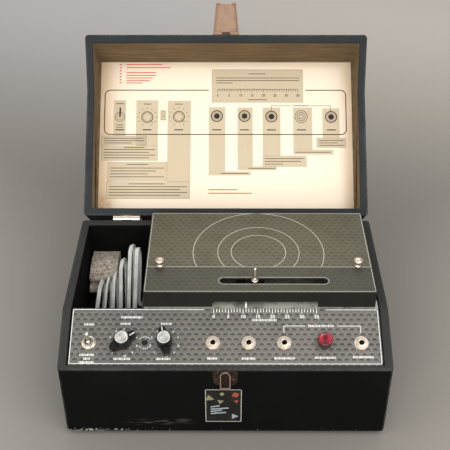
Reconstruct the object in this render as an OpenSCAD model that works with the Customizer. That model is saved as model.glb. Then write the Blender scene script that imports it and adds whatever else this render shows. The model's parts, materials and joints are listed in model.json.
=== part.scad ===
// Portable tape echo unit: a covered wooden case with a sloped control panel, a tape transport
// under a metal cover, a storage well for the mains lead and a deep lid that opens on two hinges.
// All lengths are millimetres. The working coordinates have x = 0 at the middle of the case,
// y = 0 at the front face and z = 0 under the bottom board. placed() then moves every piece so
// that the origin is under the middle of the whole object, on the surface that it stands on.

/* [Case] */
// Outer width of the case
case_w = 400; // [370:5:440]
// Outer depth of the case
case_d = 254; // [250:2:280]
// Height of the rim at the front face
rim_front_h = 112; // [106:1:120]
// Height of the level part of the rim
rim_back_h = 146; // [142:1:156]
// Depth over which the rim slopes
slope_d = 72; // [68:1:80]
// Thickness of the covered boards
board_t = 10.5; // [9:0.5:12]
// Thickness of the bottom board
bottom_t = 8; // [6:0.5:12]
// Radius of the outer edges
edge_r = 5; // [3:0.5:7]
// Height of a rubber foot
foot_h = 6; // [4:0.5:10]
// Radius of a rubber foot
foot_r = 10; // [7:0.5:14]
// Inset of a foot's centre from the outer faces
foot_inset = 28; // [22:1:40]

/* [Lid] */
// Height of the lid above the level part of the rim
lid_h = 53; // [48:1:60]
// Gap between the closed lid and the case
lid_gap = 1; // [0.5:0.1:1.5]
// Angle that the lid stands open
lid_open = 136; // [110:1:140]
// Margin round the instruction sheet in the lid
sheet_margin = 3; // [2:0.5:10]
// Thickness of the instruction sheet
sheet_t = 0.6; // [0.4:0.1:1.5]

/* [Hinges and latch] */
// Distance of each hinge from the middle
hinge_x = 139; // [110:1:150]
// Length of a hinge
hinge_w = 37; // [30:1:44]
// Radius of a hinge knuckle
knuckle_r = 4.3; // [3.8:0.1:4.5]
// Radius of a hinge pin
hinge_pin_r = 2; // [1.5:0.1:2.4]
// Length of the hasp from its pin
hasp_l = 47; // [40:1:52]
// Width of the hasp at its pin
hasp_base_w = 37; // [32:1:42]
// Width of the hasp at its free end
hasp_tip_w = 29; // [26:1:32]
// Width of the catch
catch_w = 30; // [26:1:32]
// Height of the catch
catch_h = 27; // [24:1:32]

/* [Control panel] */
// Clearance between the panel and each side of the case
panel_side_gap = 1.5; // [1:0.1:3]
// Depth of the panel below the slope of the rim
panel_recess = 3; // [2:0.5:5]
// Thickness of the panel
panel_t = 2; // [1.5:0.1:3]
// Thickness of the front board where a rebate takes the panel's lower edge
panel_lip_t = 5.8; // [4:0.1:8]
// Distance of the row of controls from the front edge, up the slope
row_u = 35; // [33:0.5:40]
// Place of the power toggle across the case
toggle_x = -165; // [-168:1:-155]
// Place of the sustain knob
sustain_x = -123.5; // [-130:0.5:-122]
// Place of the trimmer
trim_x = -97.3; // [-99:0.1:-96]
// Place of the volume knob
volume_x = -73.3; // [-74:0.1:-66]
// Place of the record lamp
lamp_x = 119.8; // [112:0.1:128]
// Radius of the lamp's lens near its top
lens_r = 9.1; // [8.5:0.1:9.6]
// Radius of the lamp's lens at its foot
lens_foot_r = 7.8; // [7:0.1:8.4]
// Height of the lamp's lens above the panel
lens_h = 14.5; // [12:0.5:20]
// Radius of a jack's hole, for a 6.35 mm plug
jack_r = 3.25; // [3.22:0.01:3.35]
// Depth of a jack's hole
jack_depth = 30; // [26:1:34]

/* [Knobs] */
// Length of a knob's bar
knob_bar_l = 35; // [32:1:40]
// Width of a knob's bar at its middle
knob_bar_w = 12; // [10:0.5:15]
// Height of a knob's bar
knob_bar_h = 8; // [6:0.5:10]
// Radius of a knob's round body
knob_r = 9.5; // [8:0.5:11]
// Height of a knob
knob_h = 19.5; // [14:0.5:22]
// Radius of a control shaft
shaft_r = 3; // [2.5:0.1:3.5]

/* [Tape deck] */
// Depth of the deck plate's top below the rim
deck_drop = 3.5; // [2:0.5:5]
// Thickness of the deck plate
deck_t = 2; // [1.5:0.1:3]
// Height of the cover above the deck plate
cover_h = 24.5; // [22.5:0.5:26.5]
// Thickness of the cover's sheet
cover_t = 1.2; // [0.8:0.1:2]
// Place of the left side of the deck and cover
cover_left_x = -100.5; // [-106:0.5:-100]
// Clearance between the cover and the right side of the case
cover_right_gap = 4.5; // [3:0.5:6]
// Place of the front face of the cover
cover_front_y = 77; // [76:0.5:80]
// Place of the seam across the cover
seam_y = 124; // [122:0.5:125]
// Place of the slot along which the slide lever runs
slot_y = 98.5; // [96:0.5:100]
// Width of the lever's slot
slot_w = 10.5; // [9:0.5:12]
// Length of one unit of the delay scale
scale_step = 3.61; // [3.4:0.01:3.7]
// Place of the scale's zero
scale_zero_x = -14.4; // [-16:0.1:-12]
// Scale reading at which the pointer stands
scale_reading = 11; // [2:1:33]
// Distance of the lever from the pointer
lever_offset_x = 11.2; // [8:0.1:14]
// Height of the lever above the cover
lever_h = 20; // [14:0.5:21]
// Place of the capstan, which the tape runs past
capstan_x = -50; // [-54:1:-47]
// Radius of the capstan
capstan_r = 2.5; // [2:0.1:3]
// Radius of the flywheel
flywheel_r = 34; // [28:1:36]
// Radius of the pinch roller
roller_r = 9; // [7:0.5:10]
// Radius of the tape pack in the cartridge
pack_r = 34; // [30:0.5:36]
// Width of the tape
tape_w = 6.3; // [5:0.1:7]

/* [Storage well] */
// Thickness of the partition beside the well
partition_t = 3.5; // [3:0.5:5]
// Length of the folded felt pad across the well
pad_w = 38; // [32:1:40]
// Height of the folded felt pad
pad_h = 92; // [80:1:100]
// Thickness of the felt
felt_t = 12; // [9:0.5:14]
// Width of the flat twin cord
cord_w = 6; // [5:0.1:6.5]
// Thickness of the flat twin cord
cord_t = 3.2; // [2.6:0.1:3.6]

/* [Hidden] */
$fn = 48;
eps = 0.01;

// Places that follow from the sizes above
half_w = case_w / 2;
inner_x = half_w - board_t;
inner_back_y = case_d - board_t;
slope_angle = atan((rim_back_h - rim_front_h) / slope_d);
slope_l = norm([slope_d, rim_back_h - rim_front_h]);
closed_h = rim_back_h + lid_gap + lid_h;
deck_z = rim_back_h - deck_drop;
cover_z = deck_z + cover_h;
hinge_y = case_d + knuckle_r + 0.5;
hinge_z = rim_back_h - 1;
leaf_l = 34;
leaf_t = 1.5;
lid_inner_z = closed_h - board_t;

// Latch
hasp_pivot_y = -5.5;
hasp_pivot_z = rim_front_h + 14;
hasp_pin_r = 1.4;
hasp_knuckle_r = 3.2;
hasp_sheet_t = 1.2;
hasp_flange_h = 4.6;
hasp_tongue_w = 11;
catch_rib_w = 12.7;
catch_rib_d = 5.5;
catch_rib_z = 2.2;
catch_t = 1.5;
catch_wall = 1.3;
catch_top_z = rim_front_h - 2;

// Panel
panel_half_w = inner_x - panel_side_gap;
panel_lip_gap = 0.4;
panel_u0 = (panel_lip_t + panel_lip_gap - panel_recess * sin(slope_angle)) / cos(slope_angle);
panel_u1 = slope_l - 0.3;
panel_top_w = -panel_recess;
panel_low_w = -panel_recess - panel_t;
jack_xs = [-15, 28.3, 71.2, 164.3];
jack_collar_r = 4.7;
jack_body_r = 8;
jack_top = 3;
nut_flats = 12.7;
nut_h = 2.2;
washer_over = 2.3;
washer_t = 0.6;
pot_body_r = 12;
pot_body_h = 11;
pot_bush_r = 4.7;
pot_bush_h = 2.5;
pot_terminal_l = 7;
pot_floor_t = 2;
trimmer_r = 8;
trimmer_h = 9;
trimmer_shaft_r = shaft_r - 0.5;
knob_lift = 1.5;
knob_crown_t = 3.5;
knob_recess_h = 4.2;
knob_cap_t = 1;
knob_tip_w = 8;
sustain_turn = -55;
volume_turn = 12;
toggle_throw = 12;
toggle_bush_r = 5.6;
toggle_bush_h = 6;
toggle_bore_r = 4.2;
toggle_ball_r = toggle_bore_r - 0.2;
toggle_pivot_w = panel_top_w + 3;
toggle_lever_l = 19;
toggle_body = [14, 28, 20];
lamp_socket_r = 4.8;
lamp_socket_h = 22;
lamp_bezel_h = 2;
run_gap = 0.05;
hole_gap = 0.2;
press_gap = 0.01;

// Tape deck
deck_front_y = slope_d + 2.2;
deck_back_y = inner_back_y - 1;
deck_right_x = inner_x - 1;
cover_right_x = inner_x - cover_right_gap;
cover_back_y = inner_back_y - 1.5;
cover_under_z = cover_z - cover_t;
scale_last = 35;
pointer_x = scale_zero_x + scale_reading * scale_step;
lever_x = pointer_x + lever_offset_x;
slide_min = scale_zero_x - pointer_x;
slide_max = scale_zero_x + scale_last * scale_step - pointer_x;
pointer_half_w = 1.2;
notch_margin = 2;
notch_top_z = deck_z + 8.5;
lever_stem_r = 1.8;
lever_base_r = 4.4;
lever_collar_r = 3.9;
lever_lift = 0.4;
slot_tip = 3.6;
slot_end_w = 4.4;
slot_margin = 3.6;
carriage_l = 36;
carriage_x = (pointer_x + lever_x) / 2;
carriage_front_y = slot_y - 10;
carriage_back_y = slot_y + 11.5;
carriage_low_z = deck_z + 1;
carriage_top_z = deck_z + 15.5;
rod_r = 2;
rod_z = deck_z + 7;
rod_front_y = slot_y - 6;
rod_back_y = slot_y + 7;
rod_bracket_t = 4;
rod_end_gap = 4;

// Cover screws
thumb_inset = 17.5;
thumb_y = seam_y + 4.2;
thumb_xs = [cover_left_x + thumb_inset, cover_right_x - thumb_inset];
thumb_base_r = 4;
thumb_head_r = 6.2;
thumb_h = 11;
thumb_stud_r = 2;
thumb_stud_l = 14;
post_r = 4.5;

// Tape path
tape_t = 0.3;
tape_y = seam_y - 0.25;
tape_z = deck_z + 7.5;
head_w = 12;
head_h = 16;
head_face_y = tape_y - 0.25;
head_l = 13;
guide_r = 2.95;
guide_h = 18;
guide_flange_r = 5;
guide_flange_h = 3;
guide_run_l = 20;
guide_post_gap = 6;
guide_left_x = capstan_x - guide_run_l;
guide_right_x = thumb_xs[1] - post_r - guide_flange_r - guide_post_gap;
play_head_x = capstan_x + head_w * 2;
erase_head_x = guide_right_x - head_l;
guide_front_y = tape_y + guide_r + run_gap + tape_t;
cart_end = 6;
cart_front_l = 9;
guide_least = 2 * guide_flange_r + 0.3;
guide_room = cover_back_y - cover_t - guide_front_y - guide_r - 2 * pack_r - cart_end;
guide_back_y = guide_front_y + guide_least + 0.55 * (guide_room - guide_least);
capstan_y = tape_y - capstan_r - run_gap;
roller_y = tape_y + tape_t + roller_r + run_gap;
roller_h = 12;
roller_z = tape_z + tape_w / 2 - roller_h / 2;
arm_top_z = roller_z - 0.3;
arm_pivot = [capstan_x + 21, roller_y + 9];
flywheel_z = deck_z - 25;
flywheel_h = 12;
flywheel_web = 5;
capstan_tail = 4;
capstan_over = 5;
flywheel_rim = 8;
flywheel_hub_r = 7;
bearing_r = 7;
bearing_rise = 2.5;
bearing_drop = 9;
collar_h = 1.5;
arm_pivot_r = 2.5;
arm_low_z = deck_z + 0.4;
arm_boss_h = 8;
roller_pin_r = 2;
motor_at = [30, 165];
motor_r = 30;
motor_h = 50;
motor_top_z = flywheel_z - 5;
pulley_r = 5;
belt_t = 1.5;
belt_h = 4;
belt_gap = 0.3;

// Cartridge
cart_x0 = -20;
cart_x1 = 130;
cart_y0 = guide_back_y - cart_front_l;
cart_h = 20;
cart_wall = 2;
reel_at = [55, guide_back_y + guide_r + pack_r];
cart_y1 = reel_at[1] + pack_r + cart_end;
reel_hub_r = 10;
reel_post_r = 5;

// Chassis
chassis_t = 1.5;
chassis_left_x = cover_left_x + 0.4;
chassis_right_x = inner_x - 0.5;
chassis_front_y = board_t + 3;
chassis_back_y = inner_back_y - 1;
chassis_lip_h = 14;
board_at = [-70, 22];
pcb = [150, 90, 1.6];
pcb_lift = 8;
pcb_inset = 5;
pcb_post_r = 2.5;
pcb_can = [6, 18];
pcb_disc = [4, 7];
pcb_block = [20, 12, 9];
core = [60, 24, 50];
coil = [40, 44, 30];
core_foot = [76, 20, 2];
transformer_at = [chassis_right_x - 49, chassis_back_y - 52.5];

// Storage well
well_front_y = deck_front_y + partition_t;
well_right_x = cover_left_x - partition_t;
partition_top_z = deck_z - deck_t;
pad_x0 = -inner_x + 2.5;
pad_back_y = inner_back_y - 1;
pad_d = 58;

felt_slit = 1.2;
felt_fold = 8;
felt_crown = 4;

// Carrying handle on the lid
handle_rise = 17;
handle_cap_l = 28;
handle_cap_w = 32;
strap_w = 24;
strap_t = 4.5;
strap_lift = 1;
strap_grip_x = 50;
strap_bend_x = 70;
strap_end_x = 98;

// Mains lead: where it leaves the partition, its loops and its plug
exit_y = 160;
exit_z = 72;
bush_r = 5.9;
bush_flange_r = 8;
bush_flange_t = 3.5;
plug_at = [-176, 122, 15];
plug_neck_l = 8;
plug_neck_r = 4;
plug_l = 24;
plug_w = 23;
plug_h = 14;

// Each row is one place on the bundle, a whole loop after the last: the middle across the well,
// the low end and the high end of the loop, half its width, and how far the high end leans in x
cord_rows = [
    [-116, 92, 22, 196, 128, 12, 0],
    [-122, 92, 22, 212, 140, 12, 1],
    [-132, 92, 20, 216, 124, 13, -2],
    [-142, 92, 20, 184, 114, 13, -3],
    [-153, 92, 20, 174, 110, 12, 2],
    [-165, 90, 18, 174, 106, 12, 4],
    [-177, 90, 18, 170, 102, 12, 7]];
cord_steps = 24;
cord_first_step = 7;
cord_sides = 6;

// A loop is a long track with round ends: 24 steps from its low end, along and across it
function track(step, half_l, r) =
    let (s = half_l - r)
    step < 4 ? [-s - r * cos(22.5 * step), r * sin(22.5 * step)]
    : step < 8 ? [-s + 2 * s * (step - 4) / 4, r]
    : step < 16 ? [s + r * sin(22.5 * (step - 8)), r * cos(22.5 * (step - 8))]
    : step < 20 ? [s - 2 * s * (step - 16) / 4, -r]
    : [-s - r * sin(22.5 * (step - 20)), -r * cos(22.5 * (step - 20))];

function cord_point(step) =
    let (i = min(floor(step / cord_steps), len(cord_rows) - 2),
        f = step / cord_steps - i,
        row = cord_rows[i] * (1 - f) + cord_rows[i + 1] * f,
        low = [row[1], row[2]],
        high = [row[3], row[4]],
        half_l = norm(high - low) / 2,
        e = (high - low) / (2 * half_l),
        t = track(step % cord_steps, half_l, row[5]),
        c = (low + high) / 2 + t[0] * e + t[1] * [e[1], -e[0]])
    [row[0] + row[6] * t[0] / half_l, c[0], c[1]];

function bezier(p, f) =
    pow(1 - f, 3) * p[0] + 3 * f * pow(1 - f, 2) * p[1] + 3 * f * f * (1 - f) * p[2]
    + pow(f, 3) * p[3];

cord_last_step = cord_steps * (len(cord_rows) - 1);
cord_exit = [well_right_x - bush_flange_t, exit_y, exit_z];
cord_bend_in = [cord_exit - [6, 0, 0], cord_exit - [14, 0, 0],
    cord_point(cord_first_step) - [0, 8, 8], cord_point(cord_first_step)];
cord_bend_out = [cord_point(cord_last_step), cord_point(cord_last_step) + [0, 8, -7],
    plug_at - [0, 18, 0], plug_at - [0, 6, 0]];
cord_route = concat(
    [cord_exit],
    [for (i = [0 : 4]) bezier(cord_bend_in, i / 5)],
    [for (step = [cord_first_step : cord_last_step - 1]) cord_point(step)],
    [for (i = [0 : 4]) bezier(cord_bend_out, i / 4)],
    [plug_at]);

function unit(v) = v / norm(v);
function cord_tangent(p, i) = unit(p[min(i + 1, len(p) - 1)] - p[max(i - 1, 0)]);

// The flat side's direction, carried along the route without a twist
function carried_sides(p, i, last, out) =
    i >= len(p) ? out
    : let (t = cord_tangent(p, i), s = unit(last - (last * t) * t))
        carried_sides(p, i + 1, s, concat(out, [s]));

function cord_rings(p) =
    let (wide = carried_sides(p, 0, [0, -0.7, -0.7], []))
    [for (i = [0 : len(p) - 1]) let (t = cord_tangent(p, i), thin = cross(t, wide[i]))
        for (j = [0 : cord_sides - 1]) let (a = 360 * j / cord_sides)
            p[i] + wide[i] * cord_w / 2 * cos(a) + thin * cord_t / 2 * sin(a) / sin(60)];

// Length of the lead, and the least gap between stretches that lie more than 40 mm apart along it
function run_lengths(p, i, sum, out) =
    i >= len(p) ? out
    : let (d = i == 0 ? 0 : norm(p[i] - p[i - 1])) run_lengths(p, i + 1, sum + d,
        concat(out, [sum + d]));
cord_runs = run_lengths(cord_route, 0, 0, []);
cord_least_gap = min([for (i = [0 : len(cord_route) - 1]) for (j = [i + 1 : len(cord_route) - 1])
    if (cord_runs[j] - cord_runs[i] > 40) norm(cord_route[i] - cord_route[j])]) - cord_w;
echo(cord_length = cord_runs[len(cord_runs) - 1], cord_least_gap = cord_least_gap);

// Extents of the open unit, for the origin
function lid_turn(p) =
    let (dy = p[0] - hinge_y, dz = p[1] - hinge_z)
    [hinge_y + dy * cos(lid_open) + dz * sin(lid_open),
     hinge_z - dy * sin(lid_open) + dz * cos(lid_open)];
lid_far_y = lid_turn([edge_r, closed_h - edge_r])[0] + edge_r;
middle_y = (lid_far_y - catch_rib_d) / 2;

// Shared shapes ------------------------------------------------------------------------------

// Puts the working coordinates into the object's own frame
module placed() {
    translate([0, -middle_y, foot_h]) children();
}

// Swings what is drawn in the closed position to the open lid
module opened() {
    placed()
        translate([0, hinge_y, hinge_z])
            rotate([-lid_open, 0, 0])
                translate([0, -hinge_y, -hinge_z])
                    children();
}

// The control panel's coordinates: x across, y up the slope, z out of it
module on_slope() {
    placed() translate([0, 0, rim_front_h]) rotate([slope_angle, 0, 0]) children();
}

// A 2-D profile in y and z, drawn out along x from x0 to x1
module along_x(x0, x1) {
    translate([x0, 0, 0]) rotate([90, 0, 90]) linear_extrude(x1 - x0) children();
}

module block(x0, x1, y0, y1, z0, z1) {
    translate([x0, y0, z0]) cube([x1 - x0, y1 - y0, z1 - z0]);
}

module rod(x, y, z0, z1, r) {
    translate([x, y, z0]) cylinder(h = z1 - z0, r = r);
}

module rounded_rect(x0, x1, y0, y1, r) {
    translate([x0 + r, y0]) square([x1 - x0 - 2 * r, y1 - y0]);
    translate([x0, y0 + r]) square([x1 - x0, y1 - y0 - 2 * r]);
    for (x = [x0 + r, x1 - r]) {
        for (y = [y0 + r, y1 - r]) translate([x, y]) circle(r);
    }
}

// The closed unit as one rounded block, from which the boards are cut
module envelope() {
    intersection() {
        linear_extrude(closed_h) rounded_rect(-half_w, half_w, 0, case_d, edge_r);
        along_x(-half_w, half_w) rounded_rect(0, case_d, 0, closed_h, edge_r);
        translate([0, case_d, 0]) rotate([90, 0, 0]) linear_extrude(case_d)
            rounded_rect(-half_w, half_w, 0, closed_h, edge_r);
    }
}

// Height of the rim above the front part's sloping edge, and of the seat under the panel
function rim_z(y) = rim_front_h + (rim_back_h - rim_front_h) * min(y / slope_d, 1);
function seat_z(y) = rim_z(y) + (panel_low_w - run_gap) / cos(slope_angle);

module hinge_knuckle(x0, x1, r) {
    translate([x0, hinge_y, hinge_z]) rotate([0, 90, 0]) cylinder(h = x1 - x0, r = r);
}

// Case ---------------------------------------------------------------------------------------

module case_side_profile() {
    polygon([[0, 0], [case_d, 0], [case_d, rim_back_h], [slope_d, rim_back_h], [0, rim_front_h]]);
}

module case_sides() {
    color("#2c2c2a") placed() intersection() {
        envelope();
        union() {
            along_x(-half_w, -inner_x) case_side_profile();
            along_x(inner_x, half_w) case_side_profile();
        }
    }
}

module case_front() {
    color("#161616") placed() intersection() {
        envelope();
        along_x(-inner_x, inner_x) polygon([[0, 0], [board_t, 0], [board_t, seat_z(board_t)],
            [panel_lip_t, seat_z(panel_lip_t)], [panel_lip_t, rim_z(panel_lip_t)], [0, rim_front_h]]);
    }
}

module case_back() {
    color("#2c2c2a") placed() intersection() {
        envelope();
        block(-inner_x, inner_x, inner_back_y, case_d, 0, rim_back_h);
    }
}

module case_bottom() {
    color("#2c2c2a") placed() block(-inner_x, inner_x, board_t, inner_back_y, 0, bottom_t);
}

module rubber_feet() {
    color("#1a1a1a") placed() for (x = [foot_inset - half_w, half_w - foot_inset]) {
        for (y = [foot_inset, case_d - foot_inset]) translate([x, y, -foot_h]) rotate_extrude()
            polygon([[0, 0], [foot_r - 1.5, 0], [foot_r, foot_h], [0, foot_h]]);
    }
}

// The side wall and the front wall of the storage well, as one L
module partition() {
    color("#1c1c1c") placed() difference() {
        union() {
            block(well_right_x, cover_left_x, deck_front_y, inner_back_y, bottom_t, partition_top_z);
            block(-inner_x, well_right_x + eps, deck_front_y, well_front_y, bottom_t,
                partition_top_z);
        }
        translate([well_right_x - 1, exit_y, exit_z]) rotate([0, 90, 0])
            cylinder(h = partition_t + 2, r = bush_r);
    }
}

// Hinges and latch ---------------------------------------------------------------------------

// Each leaf is drawn round the middle of its hinge
module case_leaf() {
    gap_half = hinge_w / 6 + 0.3;
    difference() {
        union() {
            block(-hinge_w / 2, hinge_w / 2, case_d, case_d + leaf_t, hinge_z - leaf_l, hinge_z);
            hinge_knuckle(-hinge_w / 2, hinge_w / 2, knuckle_r);
        }
        block(-gap_half, gap_half, case_d - 1, hinge_y + knuckle_r + 1, hinge_z - knuckle_r - 1.5,
            hinge_z + knuckle_r + 1);
    }
    hinge_knuckle(-hinge_w / 2, hinge_w / 2, hinge_pin_r);
}

module hinge_case_leaves() {
    color("#b9a98a") placed() for (x = [-hinge_x, hinge_x]) translate([x, 0, 0]) case_leaf();
}

module lid_leaf() {
    tongue_half = hinge_w / 6;
    leaf_low_z = hinge_z + knuckle_r + 0.6;
    difference() {
        union() {
            block(-hinge_w / 2, hinge_w / 2, case_d, case_d + leaf_t, leaf_low_z,
                hinge_z + leaf_l + 2);
            block(-tongue_half, tongue_half, case_d, case_d + leaf_t, hinge_z, leaf_low_z + eps);
            hinge_knuckle(-tongue_half, tongue_half, knuckle_r);
        }
        hinge_knuckle(-tongue_half - 1, tongue_half + 1, hinge_pin_r + run_gap);
    }
}

module hinge_lid_leaves() {
    color("#b9a98a") opened() for (x = [-hinge_x, hinge_x]) translate([x, 0, 0]) lid_leaf();
}

module catch_wing_profile() {
    translate([-catch_w / 2, catch_h - 12]) square([catch_w, 12]);
    for (x = [-catch_w / 2 + 7.5, catch_w / 2 - 7.5]) translate([x, catch_h - 14.5]) circle(7.5);
}

module catch_rib_profile(margin) {
    half = catch_rib_w / 2 - margin;
    middle = catch_h - 3.7;
    translate([-half, catch_rib_z + margin]) square([2 * half, middle - catch_rib_z - margin]);
    translate([0, middle]) circle(half);
}

// Plate with two lobed wings and a round-topped rib between them, hollowed from the front
module latch_catch() {
    color("#6a5440") placed() translate([0, 0, catch_top_z - catch_h]) rotate([90, 0, 0])
        difference() {
            union() {
                linear_extrude(catch_t) catch_wing_profile();
                linear_extrude(catch_rib_d) catch_rib_profile(0);
            }
            translate([0, 0, catch_t]) linear_extrude(catch_rib_d) catch_rib_profile(catch_wall);
        }
}

module hasp_pin_cylinder(x0, x1, r) {
    translate([x0, hasp_pivot_y, hasp_pivot_z]) rotate([0, 90, 0]) cylinder(h = x1 - x0, r = r);
}

module hasp_bracket() {
    tongue = hasp_tongue_w / 2;
    color("#6a5440") opened() {
        block(-15, 15, -1.5, 0, hasp_pivot_z - 9, hasp_pivot_z + 13);
        block(-tongue, tongue, hasp_pivot_y, -1, hasp_pivot_z - 1.2, hasp_pivot_z + 1.2);
        hasp_pin_cylinder(-tongue, tongue, hasp_knuckle_r);
        hasp_pin_cylinder(-hasp_base_w / 2 + 2, hasp_base_w / 2 - 2, hasp_pin_r);
    }
}

// Tapered sheet with a flange down each long side, drawn square to the lid's front
module latch_hasp() {
    tongue = hasp_tongue_w / 2 + 0.3;
    base = hasp_base_w / 2;
    tip = hasp_tip_w / 2;
    top = hasp_pivot_z + hasp_knuckle_r;
    far_y = hasp_pivot_y - hasp_l;
    outline = [[-base, hasp_pivot_y], [base, hasp_pivot_y], [tip, far_y], [-tip, far_y]];
    inner = [[1.2 - base, hasp_pivot_y + 1], [base - 1.2, hasp_pivot_y + 1], [tip - 1.2, far_y - 1],
        [1.2 - tip, far_y - 1]];
    color("#a8926e") opened() difference() {
        union() {
            translate([0, 0, top - hasp_sheet_t]) linear_extrude(hasp_sheet_t) polygon(outline);
            translate([0, 0, top - hasp_sheet_t - hasp_flange_h])
                linear_extrude(hasp_flange_h + eps) difference() {
                    polygon(outline);
                    polygon(inner);
                }
            hasp_pin_cylinder(1.2 - base, base - 1.2, hasp_knuckle_r);
            for (x = [-tip + 2, tip - 6]) block(x, x + 4, far_y - 1.2, far_y + 1, top - 4, top);
        }
        hasp_pin_cylinder(-base - 1, base + 1, hasp_pin_r + run_gap);
        block(-tongue, tongue, hasp_pivot_y - hasp_knuckle_r - 1, 0, hasp_pivot_z - 5, top + 1);
    }
}

// Chassis and electronics --------------------------------------------------------------------

// Side plate under the control panel: its top follows the panel's underside
module chassis_panel_profile() {
    bend_y = slope_d - 1;
    polygon([[chassis_front_y, bottom_t], [deck_front_y, bottom_t],
        [deck_front_y, seat_z(bend_y)], [bend_y, seat_z(bend_y)],
        [chassis_front_y, seat_z(chassis_front_y)]]);
}

// Sheet metal tray: as wide as the case under the panel, and right of the well under the deck
module chassis() {
    x0 = chassis_left_x;
    x1 = chassis_right_x;
    front_x0 = -panel_half_w;
    back_y0 = deck_front_y - eps;
    deck_under_z = deck_z - deck_t;
    color("#8f9294") placed() difference() {
        union() {
            for (x = [front_x0, x1 - chassis_t]) along_x(x, x + chassis_t) chassis_panel_profile();
            for (x = [x0, x1 - chassis_t])
                block(x, x + chassis_t, back_y0, chassis_back_y, bottom_t, deck_under_z);
            block(front_x0, x1, chassis_front_y, deck_front_y, bottom_t, bottom_t + chassis_t);
            block(x0, x1, back_y0, chassis_back_y, bottom_t, bottom_t + chassis_t);
            block(x0, x1, chassis_back_y - chassis_t, chassis_back_y, bottom_t, deck_under_z);
            block(front_x0, x1, chassis_front_y, chassis_front_y + chassis_t, bottom_t,
                bottom_t + chassis_lip_h);
        }
        translate([x0 - 1, exit_y, exit_z]) rotate([0, 90, 0])
            cylinder(h = chassis_t + 2, r = bush_r);
    }
}

module circuit_board() {
    z0 = bottom_t + chassis_t;
    z1 = z0 + pcb_lift;
    x0 = board_at[0];
    y0 = board_at[1];
    color("#6b7a3a") placed() {
        block(x0, x0 + pcb[0], y0, y0 + pcb[1], z1, z1 + pcb[2]);
        for (x = [x0 + pcb_inset, x0 + pcb[0] - pcb_inset]) {
            for (y = [y0 + pcb_inset, y0 + pcb[1] - pcb_inset]) rod(x, y, z0, z1 + eps, pcb_post_r);
        }
        for (i = [0 : 4]) rod(x0 + (0.16 + 0.16 * i) * pcb[0], y0 + 0.25 * pcb[1], z1,
            z1 + pcb[2] + pcb_can[1], pcb_can[0]);
        for (i = [0 : 5]) rod(x0 + (0.13 + 0.147 * i) * pcb[0], y0 + 0.53 * pcb[1], z1,
            z1 + pcb[2] + pcb_disc[1], pcb_disc[0]);
        for (i = [0 : 3]) translate([x0 + (0.12 + 0.21 * i) * pcb[0], y0 + 0.71 * pcb[1], z1])
            cube([pcb_block[0], pcb_block[1], pcb[2] + pcb_block[2]]);
    }
}

module power_transformer() {
    lift = core_foot[2] + (core[2] - coil[2]) / 2;
    color("#55504a") placed()
        translate([transformer_at[0], transformer_at[1], bottom_t + chassis_t]) {
            translate([-core[0] / 2, -core[1] / 2, core_foot[2]]) cube(core);
            translate([-coil[0] / 2, -coil[1] / 2, lift]) cube(coil);
            translate([-core_foot[0] / 2, -core_foot[1] / 2, 0])
                cube(core_foot + [0, 0, eps]);
        }
}

// Control panel ------------------------------------------------------------------------------

module panel_hole(x, r) {
    translate([x, row_u, panel_low_w - 1]) cylinder(h = panel_t + 2, r = r);
}

module control_panel() {
    color("#6f6d68") on_slope() difference() {
        translate([0, 0, panel_low_w]) linear_extrude(panel_t)
            polygon([[-panel_half_w, panel_u0], [panel_half_w, panel_u0],
                [panel_half_w, panel_u1], [-panel_half_w, panel_u1]]);
        panel_hole(toggle_x, toggle_bush_r + hole_gap);
        panel_hole(sustain_x, pot_bush_r + hole_gap);
        panel_hole(volume_x, pot_bush_r + hole_gap);
        panel_hole(trim_x, shaft_r + 0.8);
        panel_hole(lamp_x, lamp_socket_r + hole_gap);
        for (x = jack_xs) panel_hole(x, jack_collar_r + hole_gap);
    }
}

module toggle_switch() {
    color("#8b8f92") on_slope() translate([toggle_x, row_u, 0]) difference() {
        union() {
            translate([-toggle_body[0] / 2, -toggle_body[1] / 2, panel_low_w - toggle_body[2]])
                cube(toggle_body);
            translate([0, 0, panel_low_w - eps])
                cylinder(h = panel_t + toggle_bush_h, r = toggle_bush_r);
        }
        translate([0, 0, toggle_pivot_w - toggle_ball_r - 1])
            cylinder(h = toggle_bush_h + toggle_ball_r, r = toggle_bore_r);
    }
}

// Bat lever, leaning back on a ball in the switch's bush
module toggle_lever() {
    color("#c9c4b8") on_slope() translate([toggle_x, row_u, toggle_pivot_w])
        rotate([-toggle_throw, 0, 0]) {
            sphere(toggle_ball_r);
            rotate_extrude() polygon([[0, 0], [1.6, 0], [1.6, 5], [2, 9], [2.9, toggle_lever_l - 3],
                [2.5, toggle_lever_l - 1], [1.4, toggle_lever_l], [0, toggle_lever_l]]);
        }
}

module pot(x) {
    translate([x, row_u, panel_low_w]) difference() {
        union() {
            translate([0, 0, -pot_body_h]) cylinder(h = pot_body_h, r = pot_body_r);
            translate([0, 0, -eps]) cylinder(h = panel_t + pot_bush_h, r = pot_bush_r);
            translate([-pot_body_r / 2, -pot_body_r - pot_terminal_l, -pot_body_h])
                cube([pot_body_r, pot_body_r, pot_floor_t]);
        }
        translate([0, 0, pot_floor_t - pot_body_h])
            cylinder(h = pot_body_h + panel_t + pot_bush_h, r = shaft_r + run_gap);
    }
}

// Trimmer: a small potentiometer held behind the panel, with its shaft below the surface
module trimmer() {
    translate([trim_x, row_u, panel_low_w]) difference() {
        translate([0, 0, -trimmer_h]) cylinder(h = trimmer_h, r = trimmer_r);
        translate([0, 0, pot_floor_t - trimmer_h])
            cylinder(h = trimmer_h, r = trimmer_shaft_r + run_gap);
    }
}

module potentiometers() {
    color("#8b8f92") on_slope() {
        pot(sustain_x);
        pot(volume_x);
        trimmer();
    }
}

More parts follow.
